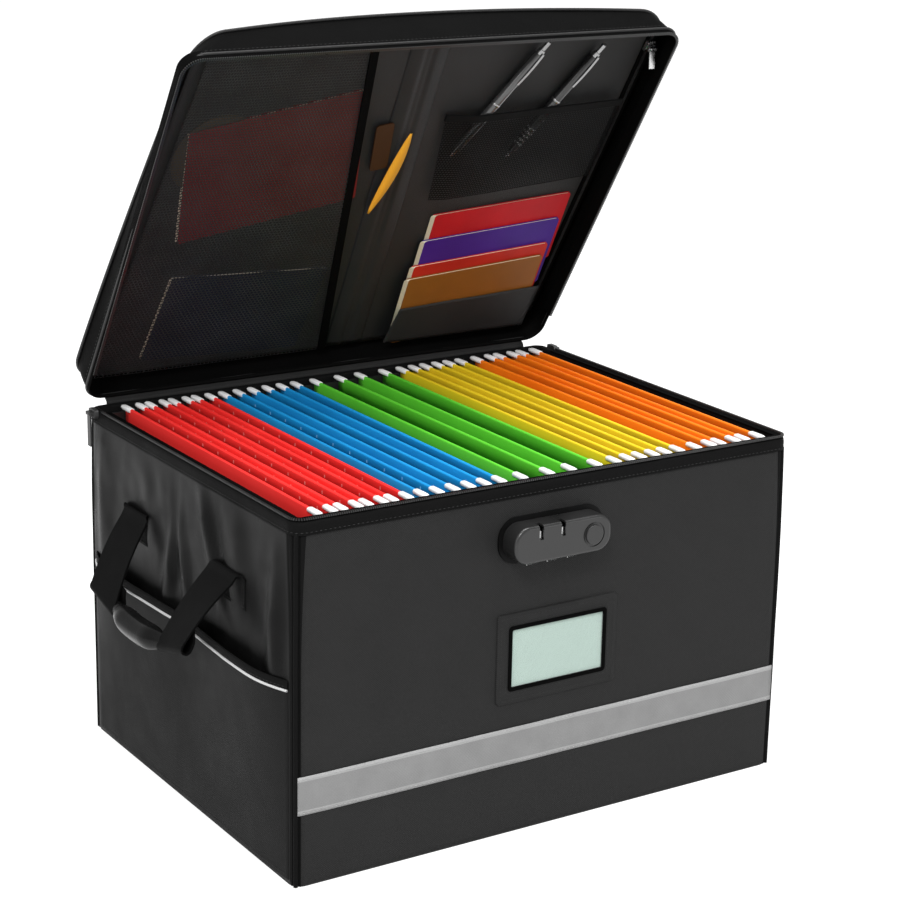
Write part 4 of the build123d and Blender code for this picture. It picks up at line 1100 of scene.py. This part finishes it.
# The pen pocket stands off the lining, and comes down to it beside the pleat.
PEN_LEVEL, PEN_DROP, PEN_FADE = 12.6 * MM, 5.5 * MM, 26 * MM
pen_corners = mm((48, 168), (196, 182), (196, 262), (36, 254))
pen_piece, pen_size = lid_sheet(
    "pen_pocket_cloth", pen_corners,
    lambda x, run: PEN_LEVEL + PEN_DROP * max(0.0, (62 * MM - x) / PEN_FADE),
    40, 24, fine_mesh, 0.6 * MM, 0.8 * MM, 6.0, 0.6 * MM)
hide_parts("lid_organizer")
rim_of_pens = [lid(36 * MM + 160 * MM * k / 40, 254 * MM + 8 * MM * k / 40,
                   PEN_LEVEL + PEN_DROP * max(0.0, (26 * MM - 160 * MM * k / 40) / PEN_FADE))
               for k in range(41)]
sweep("pen_pocket_binding", [(p, -LID_BACK, LID_RISE) for p in rim_of_pens],
      mm((-6, -0.7), (0.2, -0.9), (0.6, 0.1), (0.2, 0.8), (-6, 0.6)), binding_cloth, "lid")
low_corners = mm((56, 11), (196, 11), (196, 58), (60, 50))
low_piece, low_size = lid_sheet(
    "booklet_pocket_cloth", low_corners, lambda x, run: 11.4 * MM,
    34, 14, lid_lining_cloth, 0.6 * MM, 0.7 * MM, 9.0, 0.5 * MM)

# The zip of the lid's inner pocket, down its right side.
zip_a, zip_b = span("pocket_zip")
POCKET_ZIP_X = (zip_a.x + zip_b.x) / 2
tape_path = [lid(POCKET_ZIP_X, (24 + 298 * k / LID_STEPS) * MM, 20.9 * MM)
             for k in range(LID_STEPS + 1)]
pocket_tape = sweep("pocket_zip_tape", [(p, X_AXIS, LID_RISE) for p in tape_path],
                    mm((-4.6, -0.5), (4.6, -0.5), (4.7, 0.3), (-4.7, 0.3)), tape_cloth, "lid")
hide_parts("pocket_zip")
teeth("pocket_zip_teeth", [p - LID_RISE * 0.9 * MM for p in tape_path], -LID_RISE, "lid",
      (1.05 * MM, 2.8 * MM, 1.0 * MM))


# ---------------------------------------------------------------- papers and pens in the lid
def leatherette(name, colour):
    """Grained cover card, darker in places."""
    n = Nodes(name)
    grain = n.add("ShaderNodeTexVoronoi", {"Vector": n.place(), "Scale": 900.0}).outputs["Distance"]
    drift = n.noise(n.place(), 25.0, 3)
    darker = tuple(c * 0.6 for c in colour[:3]) + (1,)
    n.set("Base Color", n.mix(drift, colour, darker))
    n.set("Roughness", 0.5)
    n.set("Specular IOR Level", 0.2)
    n.bump(grain, 0.00006)
    return n.material


def booklet(name, middle, size, turn, back, thick, colour, fore, corner=2.5 * MM):
    """A closed booklet: a cover folded round a block of pages, whose left edges fan out by fore."""
    cover = leatherette(f"{name.removesuffix('_booklet')}_cover", colour)
    half_w, half_l = size[0] / 2, size[1] / 2
    cx, run = middle

    def at(a, b, depth):
        x = cx + a * cos(turn) - b * sin(turn)
        r = run + a * sin(turn) + b * cos(turn)
        return lid(x, r, back - depth)

    marks = outline(half_w, half_l, corner, side=6, corner=10 if corner > 5 * MM else 4)
    skin = 0.32 * MM
    for part, low, high, shrink, fan, material in (
        ("cover_back", 0.0, skin, 0.0, fore * 0.4, cover),
        ("pages", skin, thick - skin, 0.9 * MM, fore, page_mat),
        ("cover_front", thick - skin, thick, 0.0, 0.0, cover),
    ):
        points, uvs = [], []
        for depth in (low, high):
            for x, y, nx, ny in marks:
                spread = fan * (1 - depth / thick) if x < 0 else 0.0
                points.append(at(x - nx * shrink - spread, y - ny * shrink, depth))
                uvs.append((x + y, depth))
        faces = grid_faces(len(marks), 1, closed=True) + end_faces(len(marks), 2)
        add_mesh(f"{name}_{part}", points, faces, material, "lid", uvs)


BOOKLET_THICK = 2.0 * MM
BOOKLET_X = 129 * MM
BOOKLET_SIZE = (128 * MM, 74 * MM)
BOOKLET_BACK = LID_LINING - 0.2 * MM
booklet("maroon_booklet", (-104 * MM, 214 * MM), (150 * MM, 112 * MM), radians(12), BOOKLET_BACK,
        BOOKLET_THICK, (0.26, 0.016, 0.020, 1), 3 * MM)
booklet("navy_booklet", (-92 * MM, 60 * MM), (140 * MM, 88 * MM), radians(-3), BOOKLET_BACK,
        BOOKLET_THICK, (0.014, 0.020, 0.045, 1), 2.5 * MM)
# The stack in the booklet pocket, from the lining forwards: its name, the run of its front edge
# in mm, and its colour.
STACK = (("red", 150, (0.72, 0.012, 0.020, 1)), ("purple", 124, (0.075, 0.018, 0.33, 1)),
         ("scarlet", 98, (0.72, 0.030, 0.016, 1)), ("tan", 86, (0.36, 0.13, 0.018, 1)))
for step, (tone, front, colour) in enumerate(STACK):
    middle = (BOOKLET_X + (3 - 2.2 * step) * MM, (front + 2) * MM - BOOKLET_SIZE[1] / 2)
    booklet(f"{tone}_booklet", middle, BOOKLET_SIZE, radians(5), BOOKLET_BACK - 2.2 * MM * step,
            BOOKLET_THICK, colour, 5 * MM)

LEAF = ((-4 * MM, 160 * MM), (8 * MM, 240 * MM))
LEAF_STEPS = 20
leaf_points, leaf_uvs = [], []
for k in range(LEAF_STEPS + 1):
    share = k / LEAF_STEPS
    half = 5.2 * MM * sin(pi * min(1.0, share * 0.94 + 0.03)) ** 0.7
    x = LEAF[0][0] + (LEAF[1][0] - LEAF[0][0]) * share + 2.2 * MM * sin(pi * share)
    run = LEAF[0][1] + (LEAF[1][1] - LEAF[0][1]) * share
    for side_of, rise in ((-1, 15.8 * MM), (0, 15.0 * MM), (1, 15.8 * MM)):
        leaf_points.append(lid(x + half * side_of, run, rise))
        leaf_uvs.append((half * side_of, run))
leaf_mat = card_material("leaf_yellow", (0.98, 0.50, 0.035, 1), (0.95, 0.38, 0.02, 1))
leaf = add_mesh("yellow_leaf", leaf_points, grid_faces(2, LEAF_STEPS), leaf_mat, "lid", leaf_uvs)
thicken(leaf, 0.5 * MM)
booklet("brown_card", (-12 * MM, 226 * MM), (15 * MM, 46 * MM), radians(10), LID_LINING - 2.3 * MM,
        1.0 * MM, (0.055, 0.022, 0.008, 1), 0.0)
booklet("tan_disc", (-160 * MM, 231 * MM), (72 * MM, 72 * MM), 0.0, LID_LINING - 0.1 * MM,
        1.2 * MM, (0.085, 0.058, 0.034, 1), 0.0, 35.5 * MM)


def lathe(name, top, way, profile, material, around=20):
    """A turned piece from a point along a direction; profile is (distance, radius) pairs."""
    side = way.orthogonal().normalized()
    other = way.cross(side)
    points = []
    for along, radius in profile:
        for k in range(around):
            angle = 2 * pi * k / around
            points.append(top + way * along + (side * cos(angle) + other * sin(angle)) * radius)
    add_mesh(name, points, closed_tube(around, len(profile)), material, "lid")


pen_black = plastic_material("pen_black", 0.014, 0.25, coat=0.4)
pen_clear = plastic_material("pen_smoke", 0.05, 0.12, coat=0.8)
pen_trim = metal_material("pen_trim", 0.32, 0.2)
PEN_WAY = (lid(-50 * MM, -110 * MM, 0) - lid(0, 0, 0)).normalized()
PEN_RISE = 17.3 * MM
CLIP_STEPS = 13
# x and run of a pen's top, its barrel, and where its rings are along it
PENS = ((104, 322, pen_clear, (64,)), (158, 316, pen_black, (58, 88, 92, 96, 100, 104)))
for number, (x, run, barrel, rings) in enumerate(PENS, start=1):
    pen_top = lid(x * MM, run * MM, PEN_RISE)
    lathe(f"pen_{number}_barrel", pen_top, PEN_WAY,
          mm((13, 3.3), (14, 3.8), (60, 3.9), (84, 3.9), (110, 3.2), (117, 1.6)), barrel)
    lathe(f"pen_{number}_tip", pen_top, PEN_WAY, mm((117, 1.6), (120, 0.9), (121.4, 0.5)),
          chrome_mat)
    lathe(f"pen_{number}_button", pen_top, PEN_WAY,
          mm((0.6, 1.2), (1.2, 1.9), (9, 1.9), (9.1, 2.9), (13, 3.1)), pen_trim)
    for k, start in enumerate(rings):
        radius = 4.15 * MM if start < 86 else 3.95 * MM - (start - 86) * 0.024 * MM
        band = mm((start, -0.3), (start + 0.4, 0), (start + 1.8, 0), (start + 2.2, -0.3),
                  level=radius)
        lathe(f"pen_{number}_ring_{k + 1}", pen_top, PEN_WAY, band, pen_trim)
    clip = []
    for k in range(CLIP_STEPS + 1):
        share = k / CLIP_STEPS
        at = (pen_top + PEN_WAY * ((11 + 31 * share) * MM)
              - LID_RISE * (4.0 + 0.6 * sin(pi * share)) * MM)
        clip.append((at, PEN_WAY.cross(LID_RISE).normalized(), LID_RISE))
    sweep(f"pen_{number}_clip", clip, mm((-1.1, -0.35), (1.1, -0.35), (1.1, 0.35), (-1.1, 0.35)),
          pen_trim, "lid")

# ================================================================ cloth hinge
hinge_line = (
    Vector((0, HALF_Y + 1.9 * MM, span("hinge_strip")[0].z + 0.5 * MM)),
    Vector((0, HALF_Y + 2.1 * MM, 262 * MM)), Vector((0, HINGE.y + 0.6 * MM, HINGE.z - 1.2 * MM)),
    lid(0, -1.0 * MM, 1.2 * MM), lid(0, -0.8 * MM, 4 * MM), lid(0, -1.3 * MM, 9 * MM),
)


def hinge_surface(u, v):
    """From the back wall, over the gap between the two rims, up the lid's side."""
    spot = v * (len(hinge_line) - 1)
    k = min(int(spot), len(hinge_line) - 2)
    point = hinge_line[k].lerp(hinge_line[k + 1], spot - k)
    return point + Vector(((2 * u - 1) * (HALF_X - 16 * MM), 0, 0))


hinge_length = sum((b - a).length for a, b in zip(hinge_line, hinge_line[1:]))
hinge_cloth = sheet("hinge_cloth", hinge_surface, 60, 20, (2 * HALF_X - 32 * MM, hinge_length),
                    outer_cloth, None, 0.8 * MM, BOX_MIDDLE)
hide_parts("hinge_strip")
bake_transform(hinge_cloth)

# ================================================================ folders
ROD_LOW, ROD_TOP = (corner.z for corner in span("folder_rods"))
ROD_THICK = 1.6 * MM
HEM = ROD_THICK / 2 + 0.35 * MM           # half the width of a hem round its rod
FOLDER_HALF = span("red_folders")[1].y
FOLDER_LOW = span("red_folders")[0].z
FOLDER_SKIN = 0.55 * MM
FOLDER_FLOOR = 8 * MM
FOLDER_STEPS, FOLDER_COLUMNS = 16, 36
SLITS = 11
# colour: x of the first rod, number of folders, pitch, rod-to-rod opening, all in mm
FOLDER_GROUPS = {
    "red": (-187.0, 4, 20.0, 12.0),
    "blue": (-103.0, 3, 26.0, 13.0),
    "green": (-20.0, 2, 42.0, 23.0),
    "yellow": (62.0, 3, 23.0, 12.0),
    "orange": (136.0, 3, 23.0, 14.0),
}


def hem_section(x, side):
    """The card's line round a rod, from the tuck inside the folder to the start of the panel.
    side is -1 for the left panel of a folder and 1 for the right one."""
    line = [(x - side * HEM, ROD_LOW - 3.5 * MM), (x - side * HEM, ROD_TOP - 0.6 * MM)]
    for k in range(7):
        angle = pi * k / 6
        line.append((x - side * HEM * cos(angle), ROD_TOP - 0.3 * MM + HEM * sin(angle) * 0.8))
    line.append((x + side * HEM, ROD_LOW + 1 * MM))
    return line


def folder(name, near, far, material, bulge_near, bulge_far, seed):
    """One hanging folder: a single card hooked over two rods and folded at the bottom."""
    fold = (near + far) / 2
    halves = []
    for rod, side, bulge in ((near, -1, bulge_near), (far, 1, bulge_far)):
        half = [(point, 0.0) for point in hem_section(rod, side)]
        start_x, start_z = half[-1][0]
        for k in range(1, FOLDER_STEPS + 1):
            share = k / FOLDER_STEPS
            point = (start_x + (fold + side * FOLDER_FLOOR / 2 - start_x) * share,
                     start_z + (FOLDER_LOW + 1 * MM - start_z) * share)
            half.append((point, side * sin(pi * share) ** 0.8 * bulge))
        halves.append(half)
    line = halves[0] + [((fold, FOLDER_LOW + 0.2 * MM), 0.0)] + halves[1][::-1]
    points, uvs = [], []
    for (x, z), bulge in line:
        for i in range(FOLDER_COLUMNS + 1):
            y = (2 * i / FOLDER_COLUMNS - 1) * (FOLDER_HALF - 0.3 * MM)
            bow = cos(y / FOLDER_HALF * pi / 2) ** 0.7 if bulge else 0.0
            soft = 0.5 * MM * smooth(seed, y * 11, z * 9) if bulge else 0.0
            points.append(Vector((x + bulge * bow + soft, y, z)))
            uvs.append((y, z))
    faces = grid_faces(FOLDER_COLUMNS, len(line) - 1)
    piece = add_mesh(name, points, faces, material, "folders", uvs)
    thicken(piece, FOLDER_SKIN * 0.8, 0.0)
    return piece


def folder_slits(name, x, colour):
    """The row of slits for index tabs, through the hem on the panel's left face."""
    spots = []
    shift = 9 * MM * sin(x * 900)
    for k in range(SLITS):
        y = (2 * k / (SLITS - 1) - 1) * (FOLDER_HALF - 26 * MM) + shift
        spots.append((Vector((x, y, ROD_TOP - 3.6 * MM)), Y_AXIS, Z_AXIS, TO_LEFT))
    return blocks(name, spots, (1.0 * MM, 2.2 * MM, 0.25 * MM), colour, "folders", 0.9)


slit_mats = {
    "red": card_material("red_slit", (0.92, 0.30, 0.28, 1), (0.90, 0.22, 0.2, 1)),
    "blue": card_material("blue_slit", (0.28, 0.62, 0.92, 1), (0.2, 0.55, 0.9, 1)),
}
for colour, (first, count, pitch, opening) in FOLDER_GROUPS.items():
    for k in range(count):
        near = (first + k * pitch) * MM
        far = near + opening * MM
        loose = 8 * MM if colour == "red" and k == 0 else 1.4 * MM
        piece = folder(f"{colour}_folder_{k + 1}", near, far, folder_mats[colour], loose, 1.0 * MM,
                       first + k * 3.7)
        if k == 0:
            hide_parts(f"{colour}_folders")
        if colour in slit_mats:
            hem = HEM + FOLDER_SKIN / 2
            if colour == "red" or k == 0:
                folder_slits(f"{colour}_slits_{k + 1}", far - hem, slit_mats[colour])
            if k and colour == "red":
                folder_slits(f"{colour}_near_slits_{k + 1}", near - hem, slit_mats[colour])

# White plastic caps on the ends of the rods: rounded bars that run out over the rails.
CAP_WIDE, CAP_DEEP, CAP_LONG = 5.4 * MM, 3.8 * MM, 17.0 * MM
CAP_ROUND = 16
# how far along a cap, and its size there
CAP_SHAPE = ((0.0, 0.80), (0.05, 0.98), (0.6, 1.0), (0.82, 0.94), (0.94, 0.72), (1.0, 0.35))
CAP_START = FOLDER_HALF - 9.0 * MM
cap_block = closed_tube(CAP_ROUND, len(CAP_SHAPE))
cap_points, cap_faces = [], []
for first, count, pitch, opening in FOLDER_GROUPS.values():
    for k in range(count):
        for rod_x in (first + k * pitch, first + k * pitch + opening):
            for end in (-1, 1):
                cap_faces += shifted(cap_block if end > 0 else flipped(cap_block), len(cap_points))
                for share, scale in CAP_SHAPE:
                    y = end * (CAP_START + CAP_LONG * share)
                    for m in range(CAP_ROUND):
                        angle = 2 * pi * m / CAP_ROUND
                        flat = abs(cos(angle)) ** 0.6 * (1 if cos(angle) > 0 else -1)
                        x = rod_x * MM + CAP_WIDE / 2 * scale * flat
                        z = ROD_TOP - 0.6 * MM + CAP_DEEP / 2 * scale * sin(angle)
                        cap_points.append(Vector((x, y, z)))
add_mesh("rod_caps", cap_points, cap_faces, tip_mat, "folders", sharp=50)

# ================================================================ handles
# Measures of the right handle: the left one mirrors it.
KNUCKLE = Vector((215.6 * MM, 0, 206 * MM))
GRIP_END = Vector((247 * MM, 68 * MM, 155 * MM))
GRIP_MIDDLE = Vector((250 * MM, 0, 144.5 * MM))
GRIP_REACH = 67 * MM
GRIP_FREE, GRIP_TAPER = 44 * MM, 26 * MM
STRAP_TOP_Y, STRAP_LOW_Y = 71 * MM, 57 * MM
STRAP_WIDE = 39 * MM
STRAP_THICK = 1.7 * MM
STRAP_OVER = Vector((217.6 * MM, 0, 205 * MM))
STRAP_TAIL_Y = 79 * MM
LOOP_HALF = 3.9 * MM
LOOP_DROP = 2.4 * MM
KNUCKLE_ROUND = 1.6 * MM
TAIL_X, TAIL_ROWS = 213.4 * MM, (184, 189, 194, 200, 204)
PATCH_X = 214.45 * MM
PATCH_MARKS = ((-1, 186), (1, 186), (1, 202), (-1, 202), (-1, 186), (1, 202))
GRIP_AROUND, GRIP_STEPS = 28, 44
EDGE, FACE = STRAP_WIDE / 2, STRAP_THICK / 2
SELVAGE = EDGE + 0.25 * MM
STRAP_SECTION = ((-EDGE, -FACE), (EDGE, -FACE), (SELVAGE, 0), (EDGE, FACE), (-EDGE, FACE),
                 (-SELVAGE, 0))


def grip_centre(y):
    """The middle line of the grip at y."""
    sag = 1 - (y / GRIP_END.y) ** 2
    return Vector((GRIP_END.x + (GRIP_MIDDLE.x - GRIP_END.x) * sag, y,
                   GRIP_END.z + (GRIP_MIDDLE.z - GRIP_END.z) * sag))


def grip_slope(y):
    """The slope of that line."""
    return 2 * (GRIP_END.z - GRIP_MIDDLE.z) * y / GRIP_END.y ** 2


# the way that the straps fall, and the way that they face
STRAP_FALL = (grip_centre(STRAP_LOW_Y) - STRAP_OVER) * Vector((1, 0, 1))
STRAP_FALL.normalize()
STRAP_FACE = Vector((-STRAP_FALL.z, 0, STRAP_FALL.x))

for sign, side in ((-1, "left"), (1, "right")):
    for end in (-1, 1):
        where = "front" if end < 0 else "back"
        # the sewn tail, up the wall to the fold
        tail = [Vector((TAIL_X, end * STRAP_TAIL_Y, z * MM)) for z in TAIL_ROWS]
        fold = []
        for k in range(7):
            angle = pi - (pi * 1.05) * k / 6
            y = STRAP_TAIL_Y + (STRAP_TOP_Y - STRAP_TAIL_Y) * k / 6
            fold.append(Vector((KNUCKLE.x + KNUCKLE_ROUND * cos(angle), end * y,
                                KNUCKLE.z + KNUCKLE_ROUND * sin(angle) + 1 * MM)))
        grip_at = grip_centre(end * STRAP_LOW_Y)
        top = STRAP_OVER + Vector((0, end * STRAP_TOP_Y, 0))
        foot = grip_at + STRAP_FACE * LOOP_HALF
        fall = []
        for k in range(1, 17):
            share = k / 16
            bow = Vector((1.8 * MM * sin(pi * share), 0, 1.4 * MM * sin(pi * share)))
            fall.append(top.lerp(foot, share) + bow)
        wrap = []
        for k in range(1, 13):
            angle = pi * k / 12
            wrap.append(grip_at + STRAP_FALL * (LOOP_DROP + LOOP_HALF * sin(angle))
                        + STRAP_FACE * (LOOP_HALF * cos(angle)))
        for back, gap in ((3.0, -3.5), (7.0, -1.6), (11.0, 1.0), (15.0, 2.2)):
            wrap.append(grip_at - STRAP_FALL * (back * MM) + STRAP_FACE * (gap * MM))
        line = tail + fold + fall + wrap
        turned = len(tail) + len(fold)
        stations = []
        for k, point in enumerate(line):
            before, after = line[max(k - 1, 0)], line[min(k + 1, len(line) - 1)]
            way = (after - before).normalized()
            twist = clamp((k - turned) / 16)
            across = Vector((0, 1, twist * grip_slope(end * STRAP_LOW_Y)))
            up = way.cross(across).normalized()
            flip = Vector((sign, 1, 1))
            stations.append((point * flip, across * flip, up * flip))
        ribbon = sweep(f"{side}_strap_{where}", stations, STRAP_SECTION, web_cloth, None, sharp=50)
        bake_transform(ribbon)
        if end < 0:
            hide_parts(f"{side}_straps")
            if sign < 0:
                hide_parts("handle_anchors")
        # the crossed box of stitches on the tail, twice over
        box_row = []
        for inset in (2.5 * MM, 4.7 * MM):
            reach = STRAP_WIDE / 2 - inset
            box_row.append([Vector((sign * PATCH_X, end * STRAP_TAIL_Y + way * reach, z * MM))
                            for way, z in PATCH_MARKS])
        stitches(f"{side}_anchor_stitches_{where}", box_row, Vector((sign, 0, 0)), "box",
                 2.2 * MM, 2.9 * MM)

    # the moulded grip, thicker in its middle
    grip_points, grip_uvs = [], []
    for k in range(GRIP_STEPS + 1):
        share = k / GRIP_STEPS
        y = GRIP_REACH * (2 * share - 1)
        centre = grip_centre(y)
        way = Vector((0, 1, grip_slope(y))).normalized()
        full = clamp((GRIP_FREE - abs(y)) / GRIP_TAPER)
        full = full * full * (3 - 2 * full)
        deep = (2.7 + 6.6 * full) * MM
        tall = (5.4 + 3.9 * full) * MM
        face = STRAP_FACE.lerp(X_AXIS, full).normalized()
        drop = way.cross(face).normalized()
        for m in range(GRIP_AROUND):
            angle = 2 * pi * m / GRIP_AROUND
            rib = 1 + 0.03 * cos(6 * angle)
            point = centre + (face * (deep * cos(angle)) - drop * (tall * sin(angle))) * rib
            grip_points.append(Vector((point.x * sign, point.y, point.z)))
            grip_uvs.append((share * 0.126, m / GRIP_AROUND * 0.06))
    grip_faces = closed_tube(GRIP_AROUND, GRIP_STEPS + 1)
    if sign < 0:
        grip_faces = flipped(grip_faces)
    grip = add_mesh(f"{side}_handle_grip", grip_points, grip_faces, grip_mat, f"{side}_handle",
                    grip_uvs)
    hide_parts(f"{side}_grip")

# ================================================================ lock spring
# A steel coil of five turns that fills the button spring's place.
spring_low, spring_high = span("button_spring")
SPRING_WIRE = 0.45 * MM
SPRING_TURNS, TURN_STEPS = 5, 16
COIL_STEPS = SPRING_TURNS * TURN_STEPS
spring_middle = (spring_low + spring_high) / 2
coil_radius = (spring_high.x - spring_low.x) / 2 - SPRING_WIRE
coil_length = spring_high.y - spring_low.y - 2 * SPRING_WIRE
coil = []
for k in range(COIL_STEPS + 1):
    angle = 2 * pi * k / TURN_STEPS
    out = Vector((cos(angle), 0, sin(angle)))
    y = spring_high.y - SPRING_WIRE - coil_length * k / COIL_STEPS
    coil.append((Vector((spring_middle.x, y, spring_middle.z)) + out * coil_radius, out, Y_AXIS))
wire_half = 0.9 * SPRING_WIRE
wire = [(wire_half * cos(pi * k / 4), wire_half * sin(pi * k / 4)) for k in range(8)]
spring = sweep("button_coil", coil, wire, steel_mat, "box", sharp=60)
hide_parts("button_spring")
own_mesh(spring)

# ================================================================ finishes of the remaining nodes
FINISHES = {
    "lock_case": lock_mat, "lock_flange": flange_mat, "dial_1": chrome_mat, "dial_2": chrome_mat,
    "dial_3": chrome_mat, "dial_axle": steel_mat, "lock_button": lock_mat, "latch_bar": chrome_mat,
    "backing_plate": steel_mat, "lock_screws": steel_mat,
    "folder_rails": rail_mat, "folder_rods": dark_steel, "zip_sliders": dark_steel,
    "left_zip_pull": dark_steel, "right_zip_pull": dark_steel, "pocket_slider": chrome_mat,
    "pocket_pull": chrome_mat, "label_card": label_mat, "label_window": film_mat,
    "front_board": board_mat, "back_board": board_mat, "side_boards": board_mat,
    "base_board": board_mat,
    "base_cover": base_cloth,
}
for node, material in FINISHES.items():
    piece = frame["nodes"][node]
    piece.data.materials.clear()
    piece.data.materials.append(material)
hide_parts("lid_booklets")
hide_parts("lid_pens")

# ================================================================ floor, light and camera
def stage_material(name, colour, glow):
    """White to the camera and in reflections, and a plain matt floor to everything else."""
    n = Nodes(name)
    n.set("Base Color", colour)
    n.set("Roughness", 0.9)
    n.set("Specular IOR Level", 0.0)
    path = n.add("ShaderNodeLightPath")
    seen = n.maths("MAXIMUM", path.outputs["Is Camera Ray"], path.outputs["Is Glossy Ray"])
    seen = n.maths("MAXIMUM", seen, path.outputs["Is Transmission Ray"])
    n.set("Emission Color", (1, 1, 1, 1))
    n.set("Emission Strength", n.maths("MULTIPLY", seen, glow))
    return n.material


FLOOR_REACH, FLOOR_Z = 6, -0.0002
floor_mesh = bpy.data.meshes.new("floor")
floor_mesh.from_pydata([(x * FLOOR_REACH, y * FLOOR_REACH, FLOOR_Z)
                        for x, y in ((-1, -1), (1, -1), (1, 1), (-1, 1))], [], [(0, 1, 2, 3)])
floor_mesh.materials.append(stage_material("floor_white", grey(0.45), 0.74))
floor_piece = new_object("floor", floor_mesh)

world = bpy.data.worlds.new("studio")
bpy.context.scene.world = world
world.use_nodes = True
back = world.node_tree.nodes["Background"]
back.inputs["Color"].default_value = (1, 1, 1, 1)
back.inputs["Strength"].default_value = 0.66


def lamp(name, place, aim, size, power):
    """A rectangular lamp that faces a point."""
    light = bpy.data.lights.new(name, "AREA")
    light.shape = "RECTANGLE"
    light.size, light.size_y = size
    light.energy = power
    piece = new_object(name, light)
    piece.location = place
    piece.rotation_euler = (Vector(aim) - Vector(place)).to_track_quat("-Z", "Y").to_euler()


lamp("key", (-1.6, -1.9, 2.6), (0, 0, 0.2), (1.2, 0.9), 62)
lamp("top", (0.3, -0.2, 2.8), (0, 0, 0.2), (1.4, 1.4), 52)
lamp("side", (-2.2, -1.0, 0.8), (0, 0, 0.2), (0.5, 1.2), 4)
lamp("front", (1.5, -2.1, 0.8), (0.15, 0, 0.15), (0.5, 0.8), 5)

# The camera's place and axes, from the fit of the box's edges to the photograph.
CAMERA_AT = Vector((-924.1, -1459.8, 756.1)) * MM
FORWARD = Vector((0.51887, 0.80634, -0.28390))
RIGHT = Vector((0.84373, -0.53645, 0.01841))
LENS = 93.9
right = (RIGHT - FORWARD * RIGHT.dot(FORWARD) / FORWARD.length_squared).normalized()
ahead = FORWARD.normalized()
above = right.cross(ahead)
camera = bpy.data.cameras.new("camera")
camera.sensor_width = 36
camera.lens = LENS
camera.clip_end = 50
camera_piece = new_object("camera", camera)
camera_piece.matrix_world = Matrix((
    (right.x, above.x, -ahead.x, CAMERA_AT.x),
    (right.y, above.y, -ahead.y, CAMERA_AT.y),
    (right.z, above.z, -ahead.z, CAMERA_AT.z),
    (0, 0, 0, 1),
))
bpy.context.scene.camera = camera_piece
bpy.context.scene.view_settings.view_transform = "Standard"
